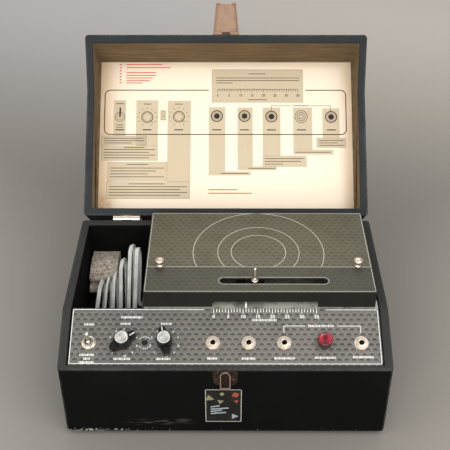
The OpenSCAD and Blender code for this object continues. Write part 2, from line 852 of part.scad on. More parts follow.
// Its slot for a screwdriver ends level with the middle of the panel
module trim_shaft() {
    r = trimmer_shaft_r;
    base_w = panel_low_w - trimmer_h + pot_floor_t + 0.3;
    shaft_l = panel_low_w + panel_t / 2 - base_w;
    color("#d0ccc0") on_slope() translate([trim_x, row_u, base_w]) difference() {
        cylinder(h = shaft_l, r = r);
        translate([-r - 1, -0.5, shaft_l - 1.2]) cube([2 * r + 2, 1, 2]);
    }
}

// From just over the potentiometer's floor into the knob
module control_shaft(x) {
    base_w = panel_low_w - pot_body_h + pot_floor_t + 0.3;
    translate([x, row_u, base_w])
        cylinder(h = panel_top_w + knob_lift + knob_h - knob_crown_t - 0.5 - base_w, r = shaft_r);
}

// Bar knob: a double-ended bar under a round body, which rises to its cap
module bar_knob(x, turn) {
    end = knob_bar_l / 2;
    mid = knob_bar_w / 2;
    tip = knob_tip_w / 2;
    body_h = knob_h - knob_cap_t;
    translate([x, row_u, panel_top_w + knob_lift]) difference() {
        union() {
            rotate([0, 0, turn]) linear_extrude(knob_bar_h)
                polygon([[-mid, -9], [-tip, 1.2 - end], [1.2 - tip, -end], [tip - 1.2, -end],
                    [tip, 1.2 - end], [mid, -9], [mid, 9], [tip, end - 1.2], [tip - 1.2, end],
                    [1.2 - tip, end], [-tip, end - 1.2], [-mid, 9]]);
            rotate_extrude() polygon([[0, 0], [knob_r, 0], [knob_r, knob_bar_h + 1],
                [knob_r - 0.6, body_h - 0.5], [knob_r - 1.6, body_h], [0, body_h]]);
        }
        translate([0, 0, -1]) cylinder(h = knob_h - knob_crown_t + 1, r = shaft_r + press_gap);
        translate([0, 0, -1]) cylinder(h = knob_recess_h + 1, r = pot_bush_r + 1.8);
    }
}

module knob_cap(x) {
    r = knob_r - 1.7;
    translate([x, row_u, panel_top_w + knob_lift + knob_h - knob_cap_t]) rotate_extrude()
        polygon([[0, 0], [r, 0], [r - 0.2, 0.7 * knob_cap_t], [r - 0.9, knob_cap_t],
            [0, knob_cap_t]]);
}

module sustain_shaft() {
    color("#c9c4b8") on_slope() control_shaft(sustain_x);
}

module sustain_knob() {
    color("#141414") on_slope() bar_knob(sustain_x, sustain_turn);
}

module sustain_cap() {
    color("#d8d4c8") on_slope() knob_cap(sustain_x);
}

module volume_shaft() {
    color("#c9c4b8") on_slope() control_shaft(volume_x);
}

module volume_knob() {
    color("#141414") on_slope() bar_knob(volume_x, volume_turn);
}

module volume_cap() {
    color("#d8d4c8") on_slope() knob_cap(volume_x);
}

// Jack: a closed barrel behind the panel with its collar standing out in front
module jack(x) {
    top = panel_top_w + jack_top;
    translate([x, row_u, 0]) difference() {
        union() {
            translate([0, 0, top - jack_depth - 2])
                cylinder(h = panel_low_w - top + jack_depth + 2, r = jack_body_r);
            translate([0, 0, panel_low_w - eps])
                cylinder(h = top - panel_low_w + eps, r = jack_collar_r);
        }
        translate([0, 0, top - jack_depth]) cylinder(h = jack_depth + 1, r = jack_r);
    }
}

module jack_sockets() {
    color("#c9c4b8") on_slope() for (x = jack_xs) jack(x);
}

// A hexagon nut on its wide washer
module hex_nut(x, bore_r) {
    translate([x, row_u, panel_top_w]) difference() {
        union() {
            cylinder(h = washer_t, r = nut_flats / 2 + washer_over);
            cylinder(h = nut_h, r = nut_flats / 2 / cos(30), $fn = 6);
        }
        translate([0, 0, -1]) cylinder(h = nut_h + 2, r = bore_r + press_gap);
    }
}

module panel_nuts() {
    color("#c9c4b8") on_slope() {
        hex_nut(toggle_x, toggle_bush_r);
        for (x = jack_xs) hex_nut(x, jack_collar_r);
    }
}

module lamp_lens() {
    h = lens_h - lamp_bezel_h;
    color("#a01020") on_slope() translate([lamp_x, row_u, panel_top_w + lamp_bezel_h])
        rotate_extrude() polygon([[0, 0], [lens_foot_r, 0], [lens_r, 0.64 * h],
            [lens_r, 0.82 * h], [0.96 * lens_r, 0.93 * h], [0.86 * lens_r, h], [0, h]]);
}

module lamp_holder() {
    color("#c9c4b8") on_slope() translate([lamp_x, row_u, 0]) {
        translate([0, 0, panel_top_w]) cylinder(h = lamp_bezel_h, r = lens_foot_r + 0.3);
        translate([0, 0, panel_low_w - lamp_socket_h])
            cylinder(h = panel_t + lamp_socket_h + eps, r = lamp_socket_r);
        translate([0, 0, panel_low_w - 2.5]) cylinder(h = 2.5, r = lamp_socket_r + 2.2, $fn = 6);
    }
}

// Cover of the tape deck ---------------------------------------------------------------------

// Rear cover: top, rear and side skirts; its front edge is open at the seam
module tape_cover() {
    x0 = cover_left_x;
    x1 = cover_right_x;
    y0 = seam_y + 0.15;
    color("#5a5b50") placed() difference() {
        block(x0, x1, y0, cover_back_y, deck_z, cover_z);
        block(x0 + cover_t, x1 - cover_t, y0 - 1, cover_back_y - cover_t, deck_z - 1,
            cover_under_z);
        for (x = thumb_xs) rod(x, thumb_y, cover_under_z - 1, cover_z + 1, thumb_stud_r + 0.3);
    }
}

// The lever's slot has narrowed ends
module lever_slot_profile() {
    x0 = lever_x + slide_min - slot_margin;
    x1 = lever_x + slide_max + slot_margin;
    h = slot_w / 2;
    e = slot_end_w / 2;
    translate([0, slot_y]) polygon([[x0, -e], [x0 + slot_tip, -h], [x1 - slot_tip, -h], [x1, -e],
        [x1, e], [x1 - slot_tip, h], [x0 + slot_tip, h], [x0, e]]);
}

// Front strip of the cover with the lever's slot and the window for the pointer
module slider_fascia() {
    x0 = cover_left_x;
    x1 = cover_right_x;
    window_x0 = pointer_x + slide_min - notch_margin;
    window_x1 = pointer_x + slide_max + notch_margin;
    color("#55564c") placed() difference() {
        block(x0, x1, cover_front_y, seam_y - 0.15, deck_z, cover_z);
        block(x0 + cover_t, x1 - cover_t, cover_front_y + cover_t, seam_y + 1, deck_z - 1,
            cover_under_z);
        block(window_x0, window_x1, cover_front_y - 1, cover_front_y + cover_t + 1, deck_z - 1,
            notch_top_z);
        translate([0, 0, cover_under_z - 1]) linear_extrude(cover_t + 2) lever_slot_profile();
    }
}

// Spool-shaped thumb screws with a domed head
module thumb_screws() {
    color("#c8b59a") placed() for (x = thumb_xs) translate([x, thumb_y, cover_z]) {
        rotate_extrude() polygon([[0, 0], [thumb_base_r, 0], [2.6, 2.2], [2.6, 4],
            [thumb_head_r - 0.6, 6.6], [thumb_head_r, 7.6], [thumb_head_r - 0.6, 9],
            [thumb_head_r - 2.4, 10.4], [0, thumb_h]]);
        translate([0, 0, -thumb_stud_l]) cylinder(h = thumb_stud_l + eps, r = thumb_stud_r);
    }
}

// Tape transport -----------------------------------------------------------------------------

module transport_deck() {
    color("#a9a8a0") placed() difference() {
        union() {
            block(cover_left_x, deck_right_x, deck_front_y, deck_back_y, deck_z - deck_t, deck_z);
            for (x = thumb_xs) rod(x, thumb_y, deck_z - eps, cover_under_z, post_r);
        }
        for (x = thumb_xs) rod(x, thumb_y, cover_z - thumb_stud_l - 1, cover_under_z + 1,
            thumb_stud_r + run_gap);
        rod(capstan_x, capstan_y, deck_z - deck_t - 1, deck_z + 1, bearing_r + run_gap);
    }
    color("#a9a8a0") placed()
        rod(arm_pivot[0], arm_pivot[1], deck_z - eps, arm_top_z + arm_boss_h + 1, arm_pivot_r);
}

// Slide rods with their end brackets, and the flanged posts that guide the tape
module guide_pins() {
    x0 = carriage_x + slide_min - carriage_l / 2 - rod_end_gap;
    x1 = carriage_x + slide_max + carriage_l / 2 + rod_end_gap;
    color("#b8bab8") placed() {
        for (y = [rod_front_y, rod_back_y]) translate([x0 - rod_bracket_t, y, rod_z])
            rotate([0, 90, 0]) cylinder(h = x1 - x0 + 2 * rod_bracket_t, r = rod_r);
        for (x = [x0 - rod_bracket_t, x1]) block(x, x + rod_bracket_t, rod_front_y - 4,
            rod_back_y + 4, deck_z, rod_z + 4);
        for (x = [guide_left_x, guide_right_x]) {
            for (y = [guide_front_y, guide_back_y]) translate([x, y, deck_z]) rotate_extrude()
                polygon([[0, 0], [guide_flange_r, 0], [guide_flange_r, guide_flange_h],
                    [guide_r, guide_flange_h], [guide_r, guide_h], [0, guide_h]]);
        }
    }
}

module head_carriage() {
    x0 = carriage_x - carriage_l / 2;
    color("#77797b") placed() difference() {
        block(x0, x0 + carriage_l, carriage_front_y, carriage_back_y, carriage_low_z,
            carriage_top_z);
        for (y = [rod_front_y, rod_back_y]) translate([x0 - 1, y, rod_z]) rotate([0, 90, 0])
            cylinder(h = carriage_l + 2, r = rod_r + run_gap);
    }
}

// A tape head: a can with a rounded face towards the tape at +y
module tape_head(x, y0) {
    half = head_w / 2;
    round_r = 9;
    intersection() {
        block(x - half, x + half, y0, head_face_y, tape_z + tape_w / 2 - head_h / 2,
            tape_z + tape_w / 2 + head_h / 2);
        rod(x, head_face_y - round_r, deck_z, cover_z, round_r);
    }
}

module record_head() {
    color("#9fa1a3") placed() tape_head(carriage_x, carriage_back_y);
}

module fixed_heads() {
    color("#9fa1a3") placed() for (x = [play_head_x, erase_head_x]) {
        tape_head(x, head_face_y - head_l);
        block(x - 5, x + 5, head_face_y - head_l + 1, head_face_y - 5, deck_z,
            tape_z + tape_w / 2 - head_h / 2 + eps);
    }
}

// Stem through the slot, a foot that runs just over the cover, a collar and a tapered grip
module slide_lever() {
    base_h = cover_z + lever_lift - carriage_top_z;
    top_h = cover_z + lever_h - carriage_top_z;
    color("#cfc9ba") placed() translate([lever_x, slot_y, carriage_top_z]) rotate_extrude()
        polygon([[0, 0], [lever_stem_r, 0], [lever_stem_r, base_h], [lever_base_r, base_h],
            [lever_base_r, base_h + 1.1], [3, base_h + 2], [3, base_h + 3.3],
            [lever_collar_r, base_h + 3.9], [lever_collar_r, base_h + 5.1], [3.3, base_h + 5.7],
            [2, top_h - 1.2], [1.2, top_h], [0, top_h]]);
}

module slide_pointer() {
    x0 = pointer_x - pointer_half_w;
    x1 = pointer_x + pointer_half_w;
    color("#f0f0ea") placed() {
        block(x0, x1, deck_front_y + 0.5, carriage_front_y, deck_z + 3, deck_z + 4.5);
        block(x0, x1, deck_front_y + 0.5, deck_front_y + 1.5, deck_z + 0.5, deck_z + 7);
    }
}

module capstan_bearing() {
    z0 = deck_z - deck_t - bearing_drop;
    color("#b08d57") placed() difference() {
        union() {
            rod(capstan_x, capstan_y, z0, deck_z + bearing_rise, bearing_r);
            rod(capstan_x, capstan_y, z0 + 3, deck_z - deck_t, bearing_r + 4);
        }
        rod(capstan_x, capstan_y, z0 - 1, deck_z + bearing_rise + 1, capstan_r + run_gap);
    }
}

// The capstan with the flywheel pressed on its lower end and a collar above the bearing
module capstan_flywheel() {
    collar_z = deck_z + bearing_rise + 0.1;
    rim_in = flywheel_r - flywheel_rim;
    color("#8d9092") placed() {
        rod(capstan_x, capstan_y, flywheel_z - capstan_tail, tape_z + tape_w + capstan_over,
            capstan_r);
        rod(capstan_x, capstan_y, collar_z, collar_z + collar_h, capstan_r + 2);
        translate([capstan_x, capstan_y, flywheel_z]) rotate_extrude() polygon([[0, 0],
            [flywheel_hub_r, 0], [flywheel_hub_r, 3], [rim_in, 3], [rim_in, 0], [flywheel_r, 0],
            [flywheel_r, flywheel_h], [rim_in, flywheel_h], [rim_in, 3 + flywheel_web],
            [flywheel_hub_r, 3 + flywheel_web],
            [flywheel_hub_r, flywheel_h - 0.5], [0, flywheel_h - 0.5]]);
    }
}

module pinch_roller() {
    color("#222222") placed() difference() {
        rod(capstan_x, roller_y, roller_z, roller_z + roller_h, roller_r);
        rod(capstan_x, roller_y, roller_z - 1, roller_z + roller_h + 1, roller_pin_r + run_gap);
    }
}

// Arm that turns on the deck's pivot post, with the roller's pin at the other end
module pinch_arm() {
    boss_top_z = arm_top_z + arm_boss_h;
    color("#9b9d9f") placed() difference() {
        union() {
            hull() {
                rod(capstan_x, roller_y, arm_low_z, arm_top_z, 4, $fn = 32);
                rod(arm_pivot[0], arm_pivot[1], arm_low_z, arm_top_z, arm_pivot_r * 2, $fn = 32);
            }
            rod(capstan_x, roller_y, arm_top_z - eps, roller_z + roller_h + 1.7, roller_pin_r);
            rod(arm_pivot[0], arm_pivot[1], arm_top_z - eps, boss_top_z, arm_pivot_r * 2);
        }
        rod(arm_pivot[0], arm_pivot[1], arm_low_z - 1, boss_top_z + 1, arm_pivot_r + run_gap);
    }
}

module drive_motor() {
    x = motor_at[0];
    y = motor_at[1];
    color("#6f7274") placed() {
        rod(x, y, motor_top_z - motor_h, motor_top_z, motor_r);
        rod(x, y, motor_top_z - motor_h - 4, motor_top_z - motor_h + eps, 9);
        for (a = [30 : 120 : 270]) rod(x + 25 * cos(a), y + 25 * sin(a), motor_top_z - eps,
            deck_z - deck_t, 3);
        difference() {
            rod(x, y, motor_top_z - eps, motor_top_z + 2, 7);
            rod(x, y, motor_top_z - 1, motor_top_z + 3, 2 + run_gap);
        }
    }
}

module motor_pulley() {
    color("#b8bab8") placed() translate([motor_at[0], motor_at[1], flywheel_z - 2.6])
        rotate_extrude() polygon([[0, 0], [2, 0], [2, 2.6], [7, 2.6], [7, 4], [pulley_r, 4.6],
            [pulley_r, 12.4], [7, 13], [7, 14], [0, 14]]);
}

module belt_outline(grow) {
    hull() {
        translate([capstan_x, capstan_y]) circle(flywheel_r + belt_gap + grow, $fn = 64);
        translate(motor_at) circle(pulley_r + belt_gap + grow, $fn = 32);
    }
}

module drive_belt() {
    color("#1b1b1b") placed() translate([0, 0, flywheel_z + flywheel_h / 2 - belt_h / 2])
        linear_extrude(belt_h) difference() {
            belt_outline(belt_t);
            belt_outline(0);
        }
}

// Closed cartridge with a hub post for the reel and a slit in each side for the tape
module tape_cartridge() {
    z1 = deck_z + cart_h;
    slit_y = guide_back_y + guide_r + tape_t / 2;
    color("#c9c2a8") placed() {
        difference() {
            block(cart_x0, cart_x1, cart_y0, cart_y1, deck_z, z1);
            block(cart_x0 + cart_wall, cart_x1 - cart_wall, cart_y0 + cart_wall,
                cart_y1 - cart_wall, deck_z + cart_wall, z1 - cart_wall);
            block(cart_x0 - 1, cart_x1 + 1, slit_y - 1.5, slit_y + 1.5, tape_z - 0.7,
                tape_z + tape_w + 0.7);
        }
        rod(reel_at[0], reel_at[1], deck_z + cart_wall - eps, z1 - cart_wall + eps, reel_post_r);
    }
}

module tape_reel() {
    z0 = deck_z + cart_wall + 0.5;
    color("#3a2a20") placed() difference() {
        union() {
            rod(reel_at[0], reel_at[1], z0, z0 + 1.5, pack_r + 2);
            rod(reel_at[0], reel_at[1], z0 + 1.5 - eps, tape_z + tape_w, pack_r - 0.6);
            rod(reel_at[0], reel_at[1], z0, tape_z + tape_w + 1, reel_hub_r);
        }
        rod(reel_at[0], reel_at[1], z0 - 1, z0 + 20, reel_post_r + run_gap);
    }
}

// The tape outside the cartridge, round its four guide posts
module tape_loop() {
    r = guide_r + run_gap;
    x0 = guide_left_x - r;
    x1 = guide_right_x + r;
    y0 = guide_front_y - r;
    y1 = guide_back_y + r;
    color("#4a3020") placed() difference() {
        translate([0, 0, tape_z]) linear_extrude(tape_w) difference() {
            rounded_rect(x0 - tape_t, x1 + tape_t, y0 - tape_t, y1 + tape_t, r + tape_t);
            rounded_rect(x0, x1, y0, y1, r);
        }
        block(cart_x0 - 0.2, cart_x1 + 0.2, cart_y0, cart_y1, deck_z, cover_z);
    }
}

// Storage well -------------------------------------------------------------------------------

module cord_bushing() {
    color("#2a2a2a") placed() translate([well_right_x, exit_y, exit_z]) rotate([0, 90, 0]) {
        translate([0, 0, -bush_flange_t]) cylinder(h = bush_flange_t, r = bush_flange_r);
        cylinder(h = partition_t + chassis_t + 4, r = bush_r - 0.05);
    }
}

// The lead: a straight end out of the bushing, loops that wander across the well, and a run
// along the bottom to the plug. Its flat side keeps facing across the loops.
module power_cord() {
    rings = cord_rings(cord_route);
    sides = cord_sides;
    last = len(cord_route) - 1;
    faces = concat(
        [for (i = [0 : last - 1]) for (j = [0 : sides - 1]) let (k = (j + 1) % sides)
            each [[i * sides + j, (i + 1) * sides + k, i * sides + k],
                [i * sides + j, (i + 1) * sides + j, (i + 1) * sides + k]]],
        [for (j = [1 : sides - 2]) [0, j, j + 1]],
        [for (j = [1 : sides - 2]) [last * sides, last * sides + j + 1, last * sides + j]]);
    color("#c8c8bc") placed() polyhedron(points = rings, faces = faces);
}

// Two-pin plug lying on the bottom of the well
module power_plug() {
    x = plug_at[0];
    y = plug_at[1];
    z = plug_at[2];
    color("#d0cfc4") placed() {
        translate([x, y + plug_neck_l, bottom_t]) linear_extrude(plug_h)
            rounded_rect(-plug_w / 2, plug_w / 2, 0, plug_l, 4);
        translate([x, y, z]) rotate([-90, 0, 0]) cylinder(h = plug_neck_l + 1, r = plug_neck_r);
        for (side = [-1, 1]) block(x + side * 6.35 - 0.75, x + side * 6.35 + 0.75,
            y + plug_neck_l + plug_l - eps, y + plug_neck_l + plug_l + 17, z - 3.1, z + 3.1);
    }
}

// Rounded front end of one layer of the mat, from its underside to its top
function felt_end(y0, z0) =
    let (r = felt_t / 2)
    [for (a = [-90 : -15 : -270]) [y0 + r + r * cos(a), z0 + r + r * sin(a)]];

// Thick felt mat on its end against the back of the well, folded forward in two layers; the
// upper layer is crowned along its length
module felt_pad() {
    back = pad_back_y;
    front = pad_back_y - pad_d;
    upper_z = bottom_t + pad_h - felt_t;
    lower_z = upper_z - felt_t - felt_slit;
    crown = [for (i = [1 : 8]) [front + 10 + (back - front - 12) * i / 9,
        upper_z + felt_t + felt_crown * sin(20 * i)]];
    color("#8a8070") placed() along_x(pad_x0, pad_x0 + pad_w) polygon(concat(
        [[back, bottom_t], [back - felt_t, bottom_t], [back - felt_t, lower_z]],
        felt_end(front - felt_fold, lower_z),
        [[back - felt_t, lower_z + felt_t], [back - felt_t, upper_z]],
        felt_end(front, upper_z),
        crown,
        [[back, upper_z + felt_t]]));
}

// Lid ----------------------------------------------------------------------------------------

module lid_side_profile() {
    polygon([[0, rim_front_h + lid_gap], [slope_d, rim_back_h + lid_gap],
        [case_d, rim_back_h + lid_gap], [case_d, closed_h], [0, closed_h]]);
}

module lid_sides() {
    color("#2a3235") opened() intersection() {
        envelope();
        union() {
            along_x(-half_w, -inner_x) lid_side_profile();
            along_x(inner_x, half_w) lid_side_profile();
        }
    }
}

module lid_front() {
    color("#2a3235") opened() intersection() {
        envelope();
        along_x(-inner_x, inner_x)
            polygon([[0, rim_front_h + lid_gap], [board_t, rim_z(board_t) + lid_gap],
                [board_t, closed_h], [0, closed_h]]);
    }
}

module lid_back() {
    color("#2a3235") opened() intersection() {
        envelope();
        block(-inner_x, inner_x, inner_back_y, case_d, rim_back_h + lid_gap, closed_h);
    }
}

module lid_top() {
    color("#6b5c42") opened()
        block(-inner_x, inner_x, board_t, inner_back_y, lid_inner_z, closed_h);
}

module instruction_sheet() {
    m = sheet_margin;
    color("#f3ddb5") opened() block(-inner_x + m, inner_x - m, board_t + m, inner_back_y - m,
        lid_inner_z - sheet_t, lid_inner_z);
}

// The strap's profile: flat under its caps, then up a slant to the grip
module strap_profile() {
    low = closed_h + strap_lift;
    top = closed_h + handle_rise;
    t = strap_t;
    half = [[strap_grip_x, top - t], [strap_bend_x, low], [strap_end_x, low],
        [strap_end_x, low + t], [strap_bend_x + 2, low + t], [strap_grip_x + 2, top]];
    polygon(concat(half, [for (i = [len(half) - 1 : -1 : 0]) [-half[i][0], half[i][1]]]));
}

// Carrying handle: a sprung strap under two metal end caps
module handle_strap() {
    color("#1a1a1a") opened() translate([0, (case_d + strap_w) / 2, 0]) rotate([90, 0, 0])
        linear_extrude(strap_w) strap_profile();
}

module handle_cap() {
    x1 = strap_end_x + 6;
    x0 = x1 - handle_cap_l;
    z1 = closed_h + strap_lift + strap_t + 2.5;
    difference() {
        block(x0, x1, -handle_cap_w / 2, handle_cap_w / 2, closed_h, z1);
        block(x0 - 1, strap_end_x + 1, -strap_w / 2 - 0.3, strap_w / 2 + 0.3,
            closed_h + strap_lift - 0.4, z1 - 2);
    }
}

module handle_caps() {
    color("#b9a98a") opened() translate([0, case_d / 2, 0]) {
        handle_cap();
        mirror([1, 0, 0]) handle_cap();
    }
}

// Nodes --------------------------------------------------------------------------------------

case_sides();
case_front();
case_back();
case_bottom();
rubber_feet();
partition();
hinge_case_leaves();
latch_catch();
chassis();
control_panel();
toggle_switch();
toggle_lever();
potentiometers();
sustain_shaft();
sustain_knob();
sustain_cap();
volume_shaft();
volume_knob();
volume_cap();
trim_shaft();
jack_sockets();
panel_nuts();
lamp_lens();
lamp_holder();
tape_cover();
slider_fascia();
thumb_screws();
transport_deck();
guide_pins();
head_carriage();
record_head();
slide_lever();
slide_pointer();
fixed_heads();
capstan_bearing();
capstan_flywheel();
pinch_roller();
pinch_arm();
drive_motor();
motor_pulley();
drive_belt();
tape_cartridge();
tape_reel();
tape_loop();
circuit_board();
power_transformer();
cord_bushing();
power_cord();
power_plug();
felt_pad();
lid_sides();
lid_front();
lid_back();
lid_top();
instruction_sheet();
hinge_lid_leaves();
hasp_bracket();
latch_hasp();
handle_strap();
handle_caps();
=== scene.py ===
"""Looks of a portable tape echo unit with its lid open, dressed round its packed CAD model.

Lengths in the sub-assemblies are millimetres in the case's own coordinates: x across, y back from
the front face and z up from the bottom board. Placement matrices take them into the row frame.
"""

import json
import logging
import math
from dataclasses import dataclass, field
from enum import Enum
from typing import Any, Callable, Iterable, Sequence

import bmesh
import bpy
from mathutils import Euler, Matrix, Vector, noise


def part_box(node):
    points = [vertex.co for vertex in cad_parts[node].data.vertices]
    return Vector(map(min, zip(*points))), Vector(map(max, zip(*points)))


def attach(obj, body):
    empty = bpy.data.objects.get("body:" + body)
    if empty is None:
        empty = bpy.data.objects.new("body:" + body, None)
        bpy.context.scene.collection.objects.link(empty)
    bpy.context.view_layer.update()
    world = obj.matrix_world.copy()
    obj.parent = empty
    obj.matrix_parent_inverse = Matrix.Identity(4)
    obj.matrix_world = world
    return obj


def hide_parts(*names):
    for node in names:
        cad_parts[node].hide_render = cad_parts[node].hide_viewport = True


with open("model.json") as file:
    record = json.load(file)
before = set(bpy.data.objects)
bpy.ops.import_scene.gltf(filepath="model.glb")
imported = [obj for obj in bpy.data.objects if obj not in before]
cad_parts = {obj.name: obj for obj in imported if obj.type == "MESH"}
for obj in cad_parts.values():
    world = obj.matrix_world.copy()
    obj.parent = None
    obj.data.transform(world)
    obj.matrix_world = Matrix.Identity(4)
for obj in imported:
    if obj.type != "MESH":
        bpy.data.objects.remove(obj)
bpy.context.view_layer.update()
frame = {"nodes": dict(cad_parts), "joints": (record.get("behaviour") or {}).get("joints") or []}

LOG = logging.getLogger("echo_unit")
MM = 0.001
SHARPEST = 40.0
FLATTEST = 0.8
WELD = 4e-6
Colour = tuple[float, float, float]
Point = tuple[float, float]


def tint(code: str) -> Colour:
    """Returns the linear colour of a six digit hexadecimal sRGB code."""
    parts = [int(code[i:i + 2], 16) / 255 for i in (0, 2, 4)]
    linear = [c / 12.92 if c <= 0.04045 else ((c + 0.055) / 1.055) ** 2.4 for c in parts]
    return (linear[0], linear[1], linear[2])


# Shader graphs ------------------------------------------------------------------------------


def maths(operation: str, meaning: str) -> Callable[..., "Sock"]:
    """Returns a Sock method that adds a Math node; meaning becomes its docstring."""

    def method(self: "Sock", *others: Any) -> "Sock":
        return self.math(operation, *others)

    method.__doc__ = meaning
    return method


class Sock:
    """An output socket of a shader graph. Arithmetic on it adds Math nodes."""

    def __init__(self, graph: "Graph", socket: bpy.types.NodeSocket) -> None:
        """Wraps socket, which belongs to graph's node tree."""
        self.graph = graph
        self.socket = socket

    def math(self, operation: str, *others: Any) -> "Sock":
        """Returns the Math node operation applied to this socket and others."""
        values = dict(enumerate([self, *others]))
        return self.graph.node("ShaderNodeMath", {"operation": operation}, values)

    __add__ = __radd__ = maths("ADD", "Adds another value.")
    __sub__ = maths("SUBTRACT", "Subtracts another value.")
    __mul__ = __rmul__ = maths("MULTIPLY", "Multiplies by another value.")
    __truediv__ = maths("DIVIDE", "Divides by another value.")
    __pow__ = maths("POWER", "Raises to a power.")
    __abs__ = maths("ABSOLUTE", "Returns the absolute value.")
    fraction = maths("FRACT", "Returns the part after the whole number.")
    floor = maths("FLOOR", "Returns the whole number below.")
    least = maths("MINIMUM", "Returns the smaller of two values.")
    most = maths("MAXIMUM", "Returns the larger of two values.")
    over = maths("GREATER_THAN", "Returns 1 where the value is above another, else 0.")

    def __rsub__(self, other: float) -> "Sock":
        """Subtracts this socket from a number."""
        return self.graph.node("ShaderNodeMath", {"operation": "SUBTRACT"}, {0: other, 1: self})

    def step(self, low: float, high: float) -> "Sock":
        """Returns a smooth step from 0 at low to 1 at high; high may be below low."""
        ends = (high, low, 1.0, 0.0) if high < low else (low, high, 0.0, 1.0)
        return self.graph.node("ShaderNodeMapRange", {"interpolation_type": "SMOOTHSTEP"},
                               dict(enumerate((self, *ends))))


class Graph:
    """A material's node tree with one Principled surface."""

    def __init__(self, name: str) -> None:
        """Starts an empty material of that name."""
        self.material = bpy.data.materials.new(name)
        self.material.use_nodes = True
        self.tree = self.material.node_tree
        self.tree.nodes.clear()
        self._place: Sock | None = None

    def node(self, kind: str, settings: dict[str, Any] | None = None,
             inputs: dict[Any, Any] | None = None, output: Any = 0) -> Sock:
        """Adds a node with its properties and inputs, and returns one output."""
        made = self.tree.nodes.new(kind)
        for key, value in (settings or {}).items():
            setattr(made, key, value)
        for key, value in (inputs or {}).items():
            self.feed(made.inputs[key], value)
        return Sock(self, made.outputs[output])

    def feed(self, target: bpy.types.NodeSocket, value: Any) -> None:
        """Links or sets an input socket; a colour of three parts becomes opaque."""
        if isinstance(value, Sock):
            self.tree.links.new(value.socket, target)
        elif target.type == "RGBA" and len(value) == 3:
            target.default_value = (*value, 1.0)
        else:
            target.default_value = value

    def place(self) -> Sock:
        """Returns the point's Object coordinates, in metres."""
        if self._place is None:
            self._place = self.node("ShaderNodeTexCoord", output="Object")
        return self._place

    def local(self, matrix: Matrix) -> list[Sock]:
        """Returns the point's x, y and z in a placement's own millimetres."""
        rows = matrix.inverted()
        out = []
        for i in range(3):
            dot = self.node("ShaderNodeVectorMath", {"operation": "DOT_PRODUCT"},
                            {0: self.place(), 1: tuple(rows[i][:3])}, output="Value")
            out.append(dot + rows[i][3])
        return out

    def vector(self, x: Any, y: Any, z: Any) -> Sock:
        """Returns a vector from three values."""
        return self.node("ShaderNodeCombineXYZ", inputs={0: x, 1: y, 2: z})

    def noise(self, size: float, detail: float = 3.0, vector: Sock | None = None,
              stretch: float = 0.0) -> Sock:
        """Returns noise whose blobs are about size metres across, from 0 to 1."""
        return self.node("ShaderNodeTexNoise", {},
                         {"Vector": vector or self.place(), "Scale": 1.0 / size,
                          "Detail": detail, "Distortion": stretch})

    def cells(self, size: float, vector: Sock | None = None) -> Sock:
        """Returns the distance to the nearest point of cells of about size metres, in cells."""
        return self.node("ShaderNodeTexVoronoi", {},
                         {"Vector": vector or self.place(), "Scale": 1.0 / size})

    def mix(self, share: Any, first: Any, second: Any) -> Sock:
        """Returns a colour between first and second."""
        return self.node("ShaderNodeMix", {"data_type": "RGBA"},
                         {0: share, 6: first, 7: second}, output=2)

    def bump(self, height: Sock, depth: float, strength: float = 1.0) -> Sock:
        """Returns a normal from a height of 0 to 1 that stands for depth metres."""
        return self.node("ShaderNodeBump", {},
                         {"Height": height, "Distance": depth, "Strength": strength})

    def surface(self, colour: Any, roughness: Any, normal: Sock | None = None,
                **fixed: Any) -> None:
        """Feeds the Principled surface; fixed names its other sockets with _ for a space."""
        inputs: dict[Any, Any] = {"Base Color": colour, "Roughness": roughness}
        inputs.update({key.replace("_", " "): value for key, value in fixed.items()})
        if normal is not None:
            inputs["Normal"] = normal
        shader = self.node("ShaderNodeBsdfPrincipled", {}, inputs)
        out = self.tree.nodes.new("ShaderNodeOutputMaterial")
        self.tree.links.new(shader.socket, out.inputs["Surface"])


# Placements ---------------------------------------------------------------------------------


class Placement:
    """Matrices from millimetres on the object's own faces into the row frame."""

    def __init__(self, slope_angle: float = 25.2778, rim_front: float = 112.0) -> None:
        """Works the matrices out from the packed frame's boxes and its lid hinge."""
        hinge = next(j for j in frame["joints"] if j["name"] == "lid_hinge")
        pivot = Vector(hinge["pos_m"])
        turn = -math.radians(hinge["range_deg"][1])
        offset = Vector((0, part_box("case_front")[0].y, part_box("case_bottom")[0].z))
        self.case = Matrix.Translation(offset) @ Matrix.Scale(MM, 4)
        self.lid = (Matrix.Translation(pivot) @ Matrix.Rotation(turn, 4, "X")
                    @ Matrix.Translation(-pivot) @ self.case)
        self.slope = (self.case @ Matrix.Translation((0, 0, rim_front))
                      @ Matrix.Rotation(math.radians(slope_angle), 4, "X"))

    def panel(self, x: float, u: float, w: float = -3.0) -> Matrix:
        """Returns a placement on the control panel: x across, u up the slope, w out of it."""
        return self.slope @ Matrix.Translation((x, u, w))

    def deck(self, x: float, y: float, z: float) -> Matrix:
        """Returns an upright placement at a point of the case."""
        return self.case @ Matrix.Translation((x, y, z))

    def front(self) -> Matrix:
        """Returns the front face's placement: x across, y up, z out of the face."""
        return self.case @ Matrix.Rotation(math.pi / 2, 4, "X")

    def back(self, depth: float) -> Matrix:
        """Returns a placement on the back face: x towards the left, y up, z out of it."""
        return (self.case @ Matrix.Translation((0, depth, 0)) @ Matrix.Rotation(math.pi, 4, "Z")
                @ Matrix.Rotation(math.pi / 2, 4, "X"))

    def ceiling(self, z: float) -> Matrix:
        """Returns the lid ceiling's placement: x across, y towards the front, z out of it."""
        return self.lid @ Matrix.Translation((0, 0, z)) @ Matrix.Rotation(math.pi, 4, "X")


AT = Placement()

# Finishes -----------------------------------------------------------------------------------


